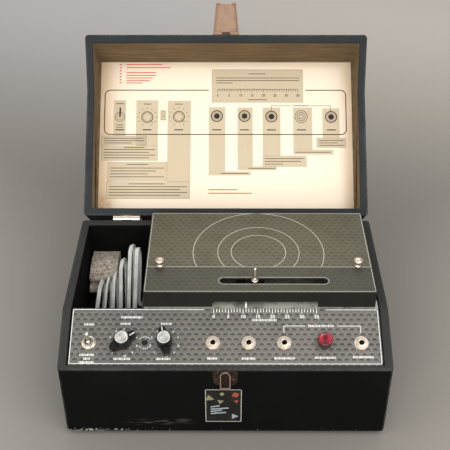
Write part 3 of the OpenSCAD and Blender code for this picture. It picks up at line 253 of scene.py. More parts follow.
@dataclass(frozen=True)
class Finish:
    """A named surface finish."""

    name: str

    def material(self) -> bpy.types.Material:
        """Returns the finish's material, made on first use."""
        made = bpy.data.materials.get(self.name)
        if made is None:
            graph = Graph(self.name)
            self.paint(graph)
            made = graph.material
        return made

    def paint(self, graph: Graph) -> None:
        """Builds the finish in graph."""
        raise NotImplementedError


@dataclass(frozen=True)
class Machined(Finish):
    """Metal or moulded plastic: fine grain, soft smudges and a few light scratches."""

    colour: Colour
    roughness: float = 0.35
    metallic: float = 1.0
    stain: Colour = (0.1, 0.08, 0.06)
    stained: float = 0.35
    grain: float = 0.0006
    depth: float = 0.00002
    specular: float = 0.5

    def paint(self, graph: Graph) -> None:
        """Mixes the stain into the colour by smudges and roughens by grain."""
        smudge = graph.noise(0.011, 5.0)
        grain = graph.noise(self.grain, 2.0)
        share = smudge.step(0.45, 0.8) * self.stained
        colour = graph.mix(share, self.colour, self.stain)
        rough = (smudge - 0.5) * 0.25 + (grain - 0.5) * 0.12 + self.roughness
        graph.surface(colour, rough, graph.bump(grain, self.depth), Metallic=self.metallic,
                      Specular_IOR_Level=self.specular)


@dataclass(frozen=True)
class Spun(Finish):
    """Bright metal turned on a lathe: rings round an axis, with a few brighter ones."""

    colour: Colour
    axis_at: Matrix
    pitch: float = 0.45
    roughness: float = 0.3
    metallic: float = 1.0

    def paint(self, graph: Graph) -> None:
        """Draws the rings by distance from the axis."""
        x, y, _ = graph.local(self.axis_at)
        radius = (x * x + y * y) ** 0.5
        ring = abs((radius / self.pitch).fraction() - 0.5) * 2
        broad = graph.noise(0.0011, 1.0, graph.vector(radius * MM, 0.0, 0.0))
        smudge = graph.noise(0.006, 4.0)
        # painted highlight: two opposite sectors round the axis drawn brighter
        highlight_sectors = ((x * 0.8 + y * 0.6) / (radius + 0.01)) ** 2
        colour = graph.mix(broad.step(0.35, 0.7) * 0.5 + highlight_sectors * 0.5,
                           tuple(c * 0.55 for c in self.colour), self.colour)
        colour = graph.mix(smudge.step(0.5, 0.85) * 0.3, colour, (0.12, 0.1, 0.08))
        rough = ring * 0.1 + broad * 0.15 + (self.roughness - 0.1)
        graph.surface(colour, rough, graph.bump(ring, 0.00003), Metallic=self.metallic)


@dataclass(frozen=True)
class WornBrass(Finish):
    """Tarnished brass sheet whose foremost edges are rubbed bright."""

    dark: Colour
    bright: Colour
    front: float = 5.5

    def paint(self, graph: Graph) -> None:
        """Brightens what stands foremost, and flecks the rest."""
        _, y, _ = graph.local(AT.case)
        cloud = graph.noise(0.006, 4.0)
        fleck = graph.noise(0.0011, 4.0)
        rubbed = (y + self.front).step(0.5, 0.2) * (fleck * 0.5 + 0.75)
        share = (rubbed + fleck.step(0.6, 0.75) * 0.5 + cloud.step(0.5, 0.7) * 0.15).least(1.0)
        graph.surface(graph.mix(share, self.dark, self.bright), 0.55 - share * 0.2,
                      graph.bump(fleck, 0.00006, 0.6), Metallic=0.75)


@dataclass(frozen=True)
class Covering(Finish):
    """Pebbled covering cloth of case and lid, with worn edges, dust and rubbed marks."""

    colour: Colour
    worn: Colour
    # colour of the painted light on the walls' top faces, lighter than the same cloth on the front
    rim: Colour
    lining: Colour
    is_lid: bool
    half_w: float = 200.0
    inner_x: float = 189.5
    depth: float = 254.0
    inner_back: float = 243.5
    board: float = 10.5
    wear: float = 0.5

    def paint(self, graph: Graph) -> None:
        """Builds grain, edge wear by the distance from the case's planes, and the lining."""
        x, y, z = graph.local(AT.lid if self.is_lid else AT.case)
        grain = graph.cells(0.0011)
        fine = graph.noise(0.0009, 3.0)
        cloud = graph.noise(0.045, 4.0)
        fleck = graph.noise(0.0034, 5.0)
        near_side = (abs(x) - (self.half_w - 5.0)).step(0.0, 4.4)
        near_front = y.step(5.0, 0.6)
        near_back = y.step(self.depth - 5.0, self.depth - 0.6)
        near_end = near_front.most(near_back)
        rim_z = (y / 72.0).least(1.0) * 34.0 + 112.0
        if self.is_lid:
            near_low = z.step(195.0, 199.4)
            near_rim = (z - rim_z).step(5.5, 1.2)
        else:
            near_low = z.step(5.5, 0.6)
            near_rim = (z - rim_z).step(-3.0, -0.4)
        near_flat = near_low.most(near_rim)
        edge = (near_side * near_end).most(near_side * near_flat).most(near_end * near_flat)
        upright = near_side * near_front * (1 - near_rim)
        worn = fleck * 0.7 + cloud * 0.3 + edge * 0.22 + upright * 0.08
        rubbed = worn.step(0.6, 0.8) * edge * (1 - near_rim * 0.7)
        dust = cloud.step(0.42, 0.8) * 0.3 + fine.step(0.55, 0.8) * 0.2
        colour = graph.mix(dust, self.colour, tuple(c * 1.6 + 0.002 for c in self.colour))
        # painted light: the walls' top faces are mixed towards a lighter colour, as if lit from
        # above
        colour = graph.mix(near_rim * (cloud * 0.6 + 0.55), colour, self.rim)
        colour = graph.mix(rubbed * self.wear, colour, self.worn)
        colour = self.marks(graph, colour, x, y, z, fleck)
        inside = ((self.inner_x + 0.6 - abs(x)).step(0.0, 0.4) * (y - self.board).step(-0.6, -0.2)
                  * (self.inner_back + 0.6 - y).step(0.0, 0.4))
        if self.is_lid:
            inside = inside * (z - rim_z).step(2.2, 3.0) * z.step(189.9, 189.4)
        else:
            inside = inside * (z - rim_z).step(-1.6, -2.4)
        streak = graph.noise(0.012, 4.0, graph.vector(x * 0.0002, y * 0.001, z * 0.003))
        lining = graph.mix(streak.step(0.3, 0.75), self.lining,
                           tuple(c * 0.55 for c in self.lining))
        colour = graph.mix(inside, colour, lining)
        height = grain * (1 - inside) * 0.7 + fine * 0.3
        rough = 0.68 - rubbed * 0.1 + (cloud - 0.5) * 0.18 + inside * 0.2
        graph.surface(colour, rough, graph.bump(height, 0.00013, 0.8),
                      Specular_IOR_Level=0.08)

    def marks(self, graph: Graph, colour: Sock, x: Sock, y: Sock, z: Sock,
              fleck: Sock) -> Sock:
        """Returns colour with chips along the lower front edge and faint scuffs on the front."""
        if self.is_lid:
            return colour
        front = y.step(1.2, 0.3)
        low = z.step(13.0, 0.0)
        left = x.step(-60.0, -190.0) * 0.75 + 0.25
        chip = (fleck + low * left * 0.3).step(0.72, 0.74) * low.over(0.02) * front
        streak = graph.noise(0.004, 3.0, graph.vector(x * 0.0002, 0.0, z * 0.0016))
        band = (z - 18.0).step(-5.0, 0.0) * (z - 22.0).step(5.0, 0.0)
        across = x.step(-128.0, -112.0) * x.step(-30.0, -55.0)
        scuff = streak.step(0.48, 0.66) * band * across * front * 0.4
        colour = graph.mix(scuff, colour, (0.16, 0.15, 0.14))
        return graph.mix(chip * 0.9, colour, (0.5, 0.48, 0.44))


@dataclass(frozen=True)
class HalfMoon(Finish):
    """Sheet metal with staggered rows of dark half moons, as rolled into the panel stock."""

    light: Colour
    # the dark colour is the painted shade in the moons
    dark: Colour
    matrix: Matrix
    # the middle point and the reach of the sheen place a painted sheen, brighter round the point
    middle: Point
    spread: float = 190.0
    contrast: float = 0.8
    pitch: float = 8.8
    rows: float = 6.4
    # colour of the painted shade on the side faces
    skirt: Colour = (0.016, 0.0165, 0.014)
    top_z: float | None = None
    roughness: float = 0.42
    metallic: float = 0.55

    def paint(self, graph: Graph) -> None:
        """Draws the moons by cells, a brighter middle, brushing, and dark side faces."""
        x, y, z = graph.local(self.matrix)
        row = (y / self.rows).floor()
        rise = y - row * self.rows
        shift = (row * 0.5).fraction()
        across = ((x / self.pitch + shift).fraction() - 0.5) * self.pitch
        radius = (across * across + rise * rise) ** 0.5 * (2 / self.pitch)
        # painted shade: the inner part of the half moons
        shaded_moon = radius.step(0.86, 0.5) * rise.step(-0.6, 1.0)
        # painted highlight: the raised ridges round the moons
        lit_ridge = radius.step(1.16, 1.0) * radius.step(0.74, 0.9)
        brush = graph.noise(0.0022, 4.0, graph.vector(x * 0.0002, y * 0.001, 0.0))
        smudge = graph.noise(0.028, 4.0)
        # painted sheen: 1 round the middle point, falling to 0 at the edge of its reach
        painted_sheen = (((x - self.middle[0]) ** 2 + ((y - self.middle[1]) * 1.5) ** 2)
                ** 0.5).step(self.spread, 20.0)
        # how much painted shade darkens the moons
        share = (shaded_moon * self.contrast * (smudge * 0.8 + 0.5)).least(1.0)
        # painted sheen: the colour dulls with distance from the middle
        light = graph.mix(painted_sheen * 0.8, tuple(c * 0.7 for c in self.light), self.light)
        light = graph.mix(brush.step(0.35, 0.75) * 0.35, light, tuple(c * 1.5 for c in self.light))
        light = graph.mix(smudge.step(0.45, 0.7) * 0.4, light, tuple(c * 0.55 for c in self.light))
        # painted highlight: the ridges are drawn lighter
        light = graph.mix(lit_ridge * self.contrast * 0.45, light, tuple(c * 1.7 for c in self.light))
        colour = graph.mix(share, light, self.dark)
        if self.top_z is not None:
            # painted shade: the side faces below the top take the darker colour
            side = z.step(self.top_z - 0.35, self.top_z - 0.9)
            colour = graph.mix(side, colour, self.skirt)
        rough = (brush - 0.5) * 0.2 + shaded_moon * 0.1 + self.roughness
        height = lit_ridge * 0.6 + brush * 0.4
        graph.surface(colour, rough, graph.bump(height, 0.00004, 0.7), Metallic=self.metallic)


@dataclass(frozen=True)
class Paper(Finish):
    """Aged printed paper: cream, browner to its edges, with tan stains and fibres."""

    colour: Colour
    stain: Colour
    half_x: float = 186.5
    near: float = 13.5
    far: float = 240.5

    def paint(self, graph: Graph) -> None:
        """Browns the sheet by distance to its edges and by clouds."""
        x, y, _ = graph.local(AT.lid)
        cloud = graph.noise(0.05, 5.0)
        blot = graph.noise(0.012, 4.0)
        fibre = graph.noise(0.0007, 3.0)
        top = (y - self.near).step(12.0, 0.0) * 0.35
        left = (x + self.half_x).step(34.0, 0.0) * 0.75
        right = (self.half_x - x).step(22.0, 0.0) * 0.5
        low = (self.far - y).step(6.0, 0.0) * 0.3
        corner = left * (self.far - y).step(40.0, 0.0) * blot.step(0.5, 0.66)
        brown = top.most(left).most(right).most(low) * (cloud * 1.1 + 0.25)
        share = (brown + corner * 0.5).least(1.0)
        colour = graph.mix(share, self.colour, self.stain)
        colour = graph.mix(fibre.step(0.5, 0.8) * 0.1, colour, self.stain)
        graph.surface(colour, 0.72 - share * 0.1, graph.bump(fibre, 0.00004, 0.6),
                      Specular_IOR_Level=0.3)


@dataclass(frozen=True)
class Ink(Finish):
    """Printing ink or thin paint, slightly broken and rubbed."""

    colour: Colour
    under: Colour
    rubbed: float = 0.3
    roughness: float = 0.6

    def paint(self, graph: Graph) -> None:
        """Lets what lies under the ink show through in flecks."""
        fleck = graph.noise(0.0012, 4.0)
        cloud = graph.noise(0.02, 3.0)
        share = (fleck * 0.7 + cloud * 0.3).step(0.5, 0.68) * self.rubbed
        colour = graph.mix(share, self.colour, self.under)
        graph.surface(colour, fleck * 0.2 + (self.roughness - 0.1),
                      graph.bump(fleck, 0.00001, 0.4), Specular_IOR_Level=0.3)


@dataclass(frozen=True)
class Felt(Finish):
    """Thick pressed felt of mixed fibres, pale and dark."""

    light: Colour
    dark: Colour

    def paint(self, graph: Graph) -> None:
        """Mixes pale and dark fibres at three sizes."""
        fibre = graph.noise(0.0022, 6.0, stretch=1.6)
        tuft = graph.noise(0.006, 4.0, stretch=0.8)
        speck = graph.cells(0.0021)
        share = (fibre * 0.65 + tuft * 0.35).step(0.4, 0.6)
        colour = graph.mix(share, self.dark, self.light)
        colour = graph.mix(speck.step(0.28, 0.1) * 0.5, colour, (0.62, 0.56, 0.47))
        colour = graph.mix(tuft.step(0.58, 0.74) * 0.5, colour, (0.05, 0.042, 0.034))
        graph.surface(colour, 0.95, graph.bump(fibre * 0.6 + tuft * 0.4, 0.0009, 0.9),
                      Specular_IOR_Level=0.1, Sheen_Weight=0.25)


@dataclass(frozen=True)
class Vinyl(Finish):
    """Soft grey insulation of the lead, dusty, with the mould line of each core."""

    colour: Colour

    def paint(self, graph: Graph) -> None:
        """Clouds the grey and dulls it by dust."""
        cloud = graph.noise(0.018, 4.0)
        dust = graph.noise(0.0013, 4.0)
        colour = graph.mix(cloud.step(0.35, 0.7), tuple(c * 0.7 for c in self.colour), self.colour)
        colour = graph.mix(dust.step(0.56, 0.8) * 0.4, colour, (0.33, 0.31, 0.27))
        graph.surface(colour, dust * 0.25 + 0.3, graph.bump(dust, 0.00004, 0.5))


@dataclass(frozen=True)
class Lens(Finish):
    """Ruby lens, darker round its foot."""

    matrix: Matrix
    # the red of the painted highlights and of the slightly lit top face
    glow: Colour = (0.36, 0.005, 0.016)
    deep: Colour = (0.03, 0.0008, 0.0015)

    def paint(self, graph: Graph) -> None:
        """Grades the red up the lens."""
        x, y, z = graph.local(self.matrix)
        swirl = graph.noise(0.004, 2.0)
        # painted highlights: two glints left and right of the middle, on the near side
        sides = abs(x).step(0.8, 4.6) * abs(x).step(8.9, 6.6) * y.step(-7.5, -2.0)
        # painted light: the top face a little lighter, the glints much lighter
        share = z.step(12.6, 13.9) * (sides * 0.85 + 0.15) + sides * 0.08
        graph.surface(graph.mix(share, self.deep, self.glow), swirl * 0.1 + 0.2,
                      graph.bump(swirl, 0.0001, 0.4), Coat_Weight=0.2, Coat_Roughness=0.15)


@dataclass(frozen=True)
class Floor(Finish):
    """Plain studio paper on the floor."""

    colour: Colour

    def paint(self, graph: Graph) -> None:
        """Adds a faint tooth, and lightens the paper towards its far end."""
        tooth = graph.noise(0.002, 3.0)
        x, y, _ = graph.local(Matrix.Identity(4))
        # painted light: the paper is lighter towards the far end and towards both sides
        far = (y + x * 0.2).step(0.2, 1.2)
        near = (abs(x) - y * 0.35).step(0.15, 0.5) * 0.3
        red, green, blue = self.colour
        # the lit colour of the paper, cooler on the left and neutral on the right
        pale = graph.mix(x.step(-0.3, 0.3), (red * 2.2, green * 2.3, blue * 2.55),
                         (red * 2.4, green * 2.4, blue * 2.4))
        colour = graph.mix(far.most(near), self.colour, pale)
        colour = graph.mix(tooth * 0.12, colour, self.colour)
        graph.surface(colour, 0.9, graph.bump(tooth, 0.00005, 0.4), Specular_IOR_Level=0.1)


NICKEL = Machined("worn_nickel", tint("dfd0bd"), 0.36, stain=tint("8f765c"), stained=0.3)
BRIGHT_NICKEL = Machined("bright_nickel", tint("eadccb"), 0.27, stain=tint("9d8468"), stained=0.3)
PINK_BRASS = Machined("rubbed_brass_plate", tint("a5866f"), 0.5, 0.4, tint("6d5342"), 0.4)
AGED_BRASS = Machined("dark_brass", tint("5c4838"), 0.5, 0.8, tint("2a1f18"), 0.6)
CATCH_BRASS = WornBrass("tarnished_catch", tint("38281f"), tint("b9a596"))
STEEL = Machined("machined_steel", tint("a9abab"), 0.32, stain=tint("55504a"))
CHASSIS = Machined("plated_sheet", tint("9a9c9c"), 0.45, stain=tint("5d5b55"))
BRONZE = Machined("sintered_bronze", tint("a67c4a"), 0.5, stain=tint("57402a"))
KNOB_BLACK = Machined("knob_black", tint("0c0b0b"), 0.3, 0.0, tint("22201e"), 0.3, 0.0008,
                      specular=0.3)
BLACK_OXIDE = Machined("black_oxide", tint("151515"), 0.5, 0.5, tint("2c2a28"), 0.3)
RUBBER = Machined("soft_rubber", tint("1b1a19"), 0.75, 0.0, tint("3b3834"), 0.4, 0.0009, 0.00006)
MOTOR_GREY = Machined("motor_paint", tint("6f7274"), 0.5, 0.3, tint("3c3b38"), 0.4, 0.0012)
TRIM_BLACK = Machined("trimmer_black", tint("0b0b0b"), 0.45, 0.0, tint("2b2a28"), 0.3, 0.0008)
CARTRIDGE = Machined("cartridge_plastic", tint("c9c2a8"), 0.4, 0.0, tint("8d846c"), 0.4, 0.001)
TAPE = Machined("oxide_tape", tint("3f2a1e"), 0.28, 0.0, tint("22160f"), 0.3, 0.0005)
BOARD = Machined("circuit_board", tint("6b7a3a"), 0.4, 0.0, tint("39401f"), 0.5, 0.002)
IRON = Machined("laminated_iron", tint("55504a"), 0.55, 0.4, tint("2d2925"), 0.6, 0.001)
PLUG = Machined("plug_plastic", tint("cfccbd"), 0.4, 0.0, tint("96917f"), 0.4, 0.001)
DECK_PAINT = Machined("speckled_deck", tint("b3b0a4"), 0.5, 0.4, tint("4a4842"), 0.8, 0.0011)
WELL_BLACK = Machined("well_paint", tint("1d1c1a"), 0.6, 0.0, tint("34312c"), 0.5, 0.0014, 0.00008)
STRAP = Machined("strap_vinyl", tint("1a1a1a"), 0.45, 0.0, tint("363432"), 0.5, 0.0012, 0.0001)
WHITE_PAINT = Ink("white_enamel", tint("efeee6"), tint("8e8c86"), 0.25)
PANEL_WHITE = Ink("panel_lettering", tint("e9e8e2"), tint("8b8a86"), 0.25)
COVER_LINE = Ink("cover_lines", tint("c3c1b5"), tint("706e62"), 0.3)
SHEET_BLACK = Ink("sheet_black", tint("231e18"), tint("8f8064"), 0.25)
SHEET_GREY = Ink("sheet_grey", tint("cfbd9f"), tint("e2d0a9"), 0.4)
SHEET_RED = Ink("sheet_red", tint("e0593c"), tint("f0c9a0"), 0.35)
FELT = Felt("pressed_felt", tint("cdbfae"), tint("6b5f52"))
CORD_GREY = Vinyl("cord_vinyl", tint("d9dbd3"))
PAPER = Paper("aged_paper", tint("fdecd4"), tint("c79c64"))
# each covering's third colour is the painted light on the top faces of its walls
CASE_CLOTH = Covering("case_cloth", tint("090909"), tint("6a6a66"), tint("393937"),
                      tint("0d0d0b"), False)
LID_CLOTH = Covering("lid_cloth", tint("15181a"), tint("8d9494"), tint("36393a"),
                     tint("877357"), True)
# each sheet has painted shade in its moons, painted highlights on their ridges and a painted sheen
# round its middle point
PANEL_METAL = HalfMoon("panel_sheet", tint("726e68"), tint("2f2e2b"), AT.slope, (100.0, 70.0),
                       240.0, 0.8, roughness=0.5, metallic=0.35)
COVER_METAL = HalfMoon("cover_sheet", tint("66614f"), tint("3c392f"), AT.case, (45.0, 160.0),
                       200.0, 0.4, skirt=tint("211f1a"), top_z=167.0, roughness=0.5, metallic=0.4)
FASCIA_METAL = HalfMoon("fascia_sheet", tint("504d41"), tint("3a372e"), AT.case, (45.0, 100.0),
                        200.0, 0.3, skirt=tint("211f1a"), top_z=167.0, roughness=0.5, metallic=0.4)

# Mesh tools ---------------------------------------------------------------------------------


class Edges(Enum):
    """How the edges of a finished piece are rounded: width in metres and segments."""

    SHARP = (0.0, 1)
    HAIR = (0.00015, 2)
    FINE = (0.0003, 2)
    SOFT = (0.0008, 3)
    ROUND = (0.0016, 4)


def spun(profile: Sequence[Point], segments: int = 48) -> bmesh.types.BMesh:
    """Returns a profile of radius and height, from axis to axis or closed, turned about z."""
    bm = bmesh.new()
    verts = [bm.verts.new((r, 0.0, z)) for r, z in profile]
    for first, second in zip(verts, verts[1:]):
        bm.edges.new((first, second))
    bmesh.ops.spin(bm, geom=bm.verts[:] + bm.edges[:], cent=(0, 0, 0), axis=(0, 0, 1),
                   dvec=(0, 0, 0), angle=math.tau, steps=segments, use_merge=True,
                   use_normal_flip=False, use_duplicate=False)
    bmesh.ops.remove_doubles(bm, verts=bm.verts[:], dist=1e-4)
    bmesh.ops.recalc_face_normals(bm, faces=bm.faces[:])
    return bm


def cleaned(bm: bmesh.types.BMesh) -> bmesh.types.BMesh:
    """Welds a mesh, joins up its flat faces and returns it."""
    bmesh.ops.remove_doubles(bm, verts=bm.verts[:], dist=WELD)
    bmesh.ops.dissolve_limit(bm, angle_limit=math.radians(FLATTEST), verts=bm.verts[:],
                             edges=bm.edges[:])
    return bm


def node_mesh(*nodes: str) -> bmesh.types.BMesh:
    """Returns the merged meshes of CAD nodes, in metres, with flat faces joined up."""
    bm = bmesh.new()
    for name in nodes:
        bm.from_mesh(frame["nodes"][name].data)
    return cleaned(bm)


def joined(target: bmesh.types.BMesh, other: bmesh.types.BMesh,
           matrix: Matrix | None = None) -> None:
    """Adds a copy of other, placed by matrix, to target and frees other."""
    mesh = bpy.data.meshes.new("joined")
    other.to_mesh(mesh)
    other.free()
    if matrix is not None:
        mesh.transform(matrix)
    target.from_mesh(mesh)
    bpy.data.meshes.remove(mesh)


def piece(name: str, bm: bmesh.types.BMesh, finish: Finish, body: str,
          matrix: Matrix | None = None, replaces: Iterable[str] = (),
          edges: Edges = Edges.SHARP, smooth: float = 38.0) -> bpy.types.Object:
    """Makes a finished piece at the origin that rides on a body; frees bm.

    Args:
        slot: the record's material slot.
        matrix: its placement, put into the mesh.
        replaces: the CAD nodes it stands for.
        smooth: edges flatter than this many degrees shade smoothly.
    """
    if matrix is not None:
        bmesh.ops.transform(bm, matrix=matrix, verts=bm.verts[:])
    mesh = bpy.data.meshes.new(name)
    bm.to_mesh(mesh)
    bm.free()
    mesh.polygons.foreach_set("use_smooth", [True] * len(mesh.polygons))
    mesh.set_sharp_from_angle(angle=math.radians(smooth))
    mesh.materials.append(finish.material())
    obj = bpy.data.objects.new(name, mesh)
    bpy.context.scene.collection.objects.link(obj)
    width, segments = edges.value
    if width:
        rounding = obj.modifiers.new("edges", "BEVEL")
        rounding.width = width
        rounding.segments = segments
        rounding.limit_method = "ANGLE"
        rounding.angle_limit = math.radians(SHARPEST)
        rounding.harden_normals = True
        rounding.profile = 0.5
    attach(obj, body)
    if replaces:
        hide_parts(*replaces)
    LOG.info("%s on %s: %d faces", name, body, len(mesh.polygons))
    return obj


def softened(node: str, name: str, finish: Finish, body: str,
             edges: Edges = Edges.FINE, smooth: float = 38.0) -> bpy.types.Object:
    """Replaces a CAD node by its own shape with rounded edges; returns the piece."""
    return piece(name, node_mesh(node), finish, body, None, (node,), edges, smooth)


def dress(finish: Finish, *nodes: str) -> None:
    """Gives CAD nodes whose shape is right a finish on their own material slots."""
    for name in nodes:
        slots = frame["nodes"][name].material_slots
        for entry in slots:
            entry.material = finish.material()
        if not slots:
            frame["nodes"][name].data.materials.append(finish.material())
        LOG.info("%s: %s", name, finish.name)


def union_mesh(nodes: Sequence[str]) -> bmesh.types.BMesh:
    """Returns CAD nodes whose faces touch as one closed mesh, as a covering goes over joints."""
    bodies = []
    for name in nodes:
        mesh = bpy.data.meshes.new(name)
        bm = node_mesh(name)
        bm.to_mesh(mesh)
        bm.free()
        obj = bpy.data.objects.new("joint_" + name, mesh)
        bpy.context.scene.collection.objects.link(obj)
        bodies.append(obj)
    for other in bodies[1:]:
        merge = bodies[0].modifiers.new(other.name, "BOOLEAN")
        merge.operation = "UNION"
        merge.solver = "EXACT"
        merge.object = other
    graph = bpy.context.evaluated_depsgraph_get()
    result = bmesh.new()
    result.from_mesh(bodies[0].evaluated_get(graph).to_mesh())
    for obj in bodies:
        bpy.data.objects.remove(obj)
    return cleaned(result)


class Print:
    """Flat shapes gathered into thin closed plates on a surface, in its millimetres."""

    def __init__(self, thickness: float = 0.09, sunk: float = 0.03) -> None:
        """Starts an empty print that stands thickness over the surface and is sunk into it."""
        self.bm = bmesh.new()
        self.low = -sunk
        self.high = thickness

    def _box(self, centre: Point, size: Point, turn: float = 0.0) -> None:
        """Adds one plate."""
        matrix = (Matrix.Translation((*centre, (self.low + self.high) / 2))
                  @ Matrix.Rotation(turn, 4, "Z")
                  @ Matrix.Diagonal((*size, self.high - self.low, 1.0)))
        bmesh.ops.create_cube(self.bm, size=1.0, matrix=matrix)

    def bar(self, x0: float, y0: float, x1: float, y1: float) -> "Print":
        """Adds a rectangle between two corners."""
        self._box(((x0 + x1) / 2, (y0 + y1) / 2), (abs(x1 - x0), abs(y1 - y0)))
        return self

    def line(self, width: float, *points: Point) -> "Print":
        """Adds a line through points, each stretch lengthened by half its width."""
        for (x0, y0), (x1, y1) in zip(points, points[1:]):
            length = math.hypot(x1 - x0, y1 - y0)
            self._box(((x0 + x1) / 2, (y0 + y1) / 2), (length + width, width),
                      math.atan2(y1 - y0, x1 - x0))
        return self

    def arc(self, centre: Point, radius: float, width: float, start: float = 0.0,
            end: float = 360.0, steps: int = 64) -> "Print":
        """Adds a ring or a part of one, from start to end in degrees."""
        bm = bmesh.new()
        inner, outer = radius - width / 2, radius + width / 2
        corners = [(inner, self.low), (outer, self.low), (outer, self.high), (inner, self.high)]
        verts = [bm.verts.new((r, 0.0, z)) for r, z in corners]
        for i in range(4):
            bm.edges.new((verts[i], verts[(i + 1) % 4]))
        whole = end - start >= 359.9
        bmesh.ops.spin(bm, geom=bm.verts[:] + bm.edges[:], cent=(0, 0, 0), axis=(0, 0, 1),
                       dvec=(0, 0, 0), angle=math.radians(min(end - start, 360.0)),
                       steps=steps, use_merge=whole, use_normal_flip=False,
                       use_duplicate=False)
        if not whole:
            bmesh.ops.holes_fill(bm, edges=[e for e in bm.edges if e.is_boundary], sides=4)
        bmesh.ops.recalc_face_normals(bm, faces=bm.faces[:])
        joined(self.bm, bm, Matrix.Translation((*centre, 0.0))
               @ Matrix.Rotation(math.radians(start), 4, "Z"))
        return self

    def disc(self, centre: Point, radius: float, sides: int = 24,
             turn: float = 0.0) -> "Print":
        """Adds a filled disc or regular shape."""
        matrix = (Matrix.Translation((*centre, (self.low + self.high) / 2))
                  @ Matrix.Rotation(math.radians(turn), 4, "Z"))
        bmesh.ops.create_cone(self.bm, cap_ends=True, cap_tris=False, segments=sides,
                              radius1=radius, radius2=radius, depth=self.high - self.low,
                              matrix=matrix)
        return self

    def frame(self, x0: float, y0: float, x1: float, y1: float, width: float) -> "Print":
        """Adds the outline of a rectangle."""
        return self.line(width, (x0, y0), (x1, y0), (x1, y1), (x0, y1), (x0, y0))

    def number(self, text: str, centre: Point, height: float) -> "Print":
        """Adds a number, centred."""
        curve = bpy.data.curves.new("number", "FONT")
        curve.body = text
        curve.size = height * 1.4
        curve.align_x = "CENTER"
        curve.align_y = "CENTER"
        curve.resolution_u = 2
        curve.offset = height * 0.03
        curve.extrude = (self.high - self.low) / 2
        holder = bpy.data.objects.new("number", curve)
        bpy.context.scene.collection.objects.link(holder)
        graph = bpy.context.evaluated_depsgraph_get()
        mesh = bpy.data.meshes.new_from_object(holder.evaluated_get(graph))
        bm = bmesh.new()
        bm.from_mesh(mesh)
        bmesh.ops.remove_doubles(bm, verts=bm.verts[:], dist=1e-4)
        joined(self.bm, bm, Matrix.Translation((*centre, (self.low + self.high) / 2)))
        bpy.data.objects.remove(holder)
        bpy.data.meshes.remove(mesh)
        return self

    def done(self, name: str, finish: Finish, body: str, slot: str,
             matrix: Matrix) -> bpy.types.Object:
        """Makes the print a piece on a placement."""
        return piece(name, self.bm, finish, body, matrix)


def screw_heads(name: str, finish: Finish, body: str, places: Iterable[Matrix],
                radius: float = 2.6, height: float = 1.2) -> bpy.types.Object:
    """Makes one piece of domed, slotted screw heads; each place's z points out of its seat."""
    bm = bmesh.new()
    for place in places:
        head = spun([(0, -0.2), (radius, -0.2), (radius, 0.25), (radius * 0.86, height * 0.62),
                     (radius * 0.5, height * 0.92), (0, height)], 20)
        cut_w = radius * 0.13
        for side in (-1, 1):
            bmesh.ops.bisect_plane(head, geom=head.verts[:] + head.edges[:] + head.faces[:],
                                   plane_co=(side * cut_w, 0, 0), plane_no=(1, 0, 0))
        groove = [v for v in head.verts
                  if abs(v.co.x) < cut_w * 0.98 and v.co.z > height * 0.5]
        for vert in groove:
            vert.co.z = height * 0.45
        joined(bm, head, place)
    return piece(name, bm, finish, body)


def leaf_screws(body: str, back: Matrix, hinge_x: float, heights: Point) -> None:
    """Puts three screws through each hinge leaf, the outer two at the first height."""
    outer, middle = heights
    places = [back @ Matrix.Translation((side * hinge_x + dx, height, 0)) for side in (-1, 1)
              for dx, height in ((-13.0, outer), (0.0, middle), (13.0, outer))]
    screw_heads(body + "_hinge_screws", NICKEL, body, places)


# Sub-assemblies -----------------------------------------------------------------------------


@dataclass
class Case:
    """The covered case: its boards under one covering, feet, hinge leaves and catch."""

    boards: tuple[str, ...] = ("case_sides", "case_front", "case_back", "case_bottom")
    foot_inset: float = 28.0
    half_w: float = 200.0
    depth: float = 254.0
    hinge_x: float = 139.0
    leaf_y: float = 255.5
    rivet_x: float = 10.4
    rivet_z: float = 96.0

    def build(self) -> None:
        """Makes the covering, the metalwork and the feet."""
        piece("case_covering", union_mesh(self.boards), CASE_CLOTH, "case",
              None, self.boards, Edges.ROUND)
        softened("rubber_feet", "feet", RUBBER, "case", Edges.SOFT)
        softened("hinge_case_leaves", "case_hinge_leaves", BRIGHT_NICKEL, "case",
                 Edges.FINE)
        softened("latch_catch", "catch", CATCH_BRASS, "case", Edges.FINE)
        self.screws()

    def screws(self) -> None:
        """Puts screws through the hinge leaves, the feet and the catch's wings."""
        leaf_screws("case", AT.back(self.leaf_y), self.hinge_x, (126.0, 117.0))
        under = AT.case @ Matrix.Rotation(math.pi, 4, "X")
        feet = [under @ Matrix.Translation((sx * (self.half_w - self.foot_inset), -y, 5.0))
                for sx in (-1, 1) for y in (self.foot_inset, self.depth - self.foot_inset)]
        screw_heads("foot_screws", STEEL, "case", feet, 3.2, 0.8)
        wings = [AT.front() @ Matrix.Translation((side * self.rivet_x, self.rivet_z, 1.5))
                 for side in (-1, 1)]
        screw_heads("catch_rivets", AGED_BRASS, "case", wings, 2.3, 1.0)


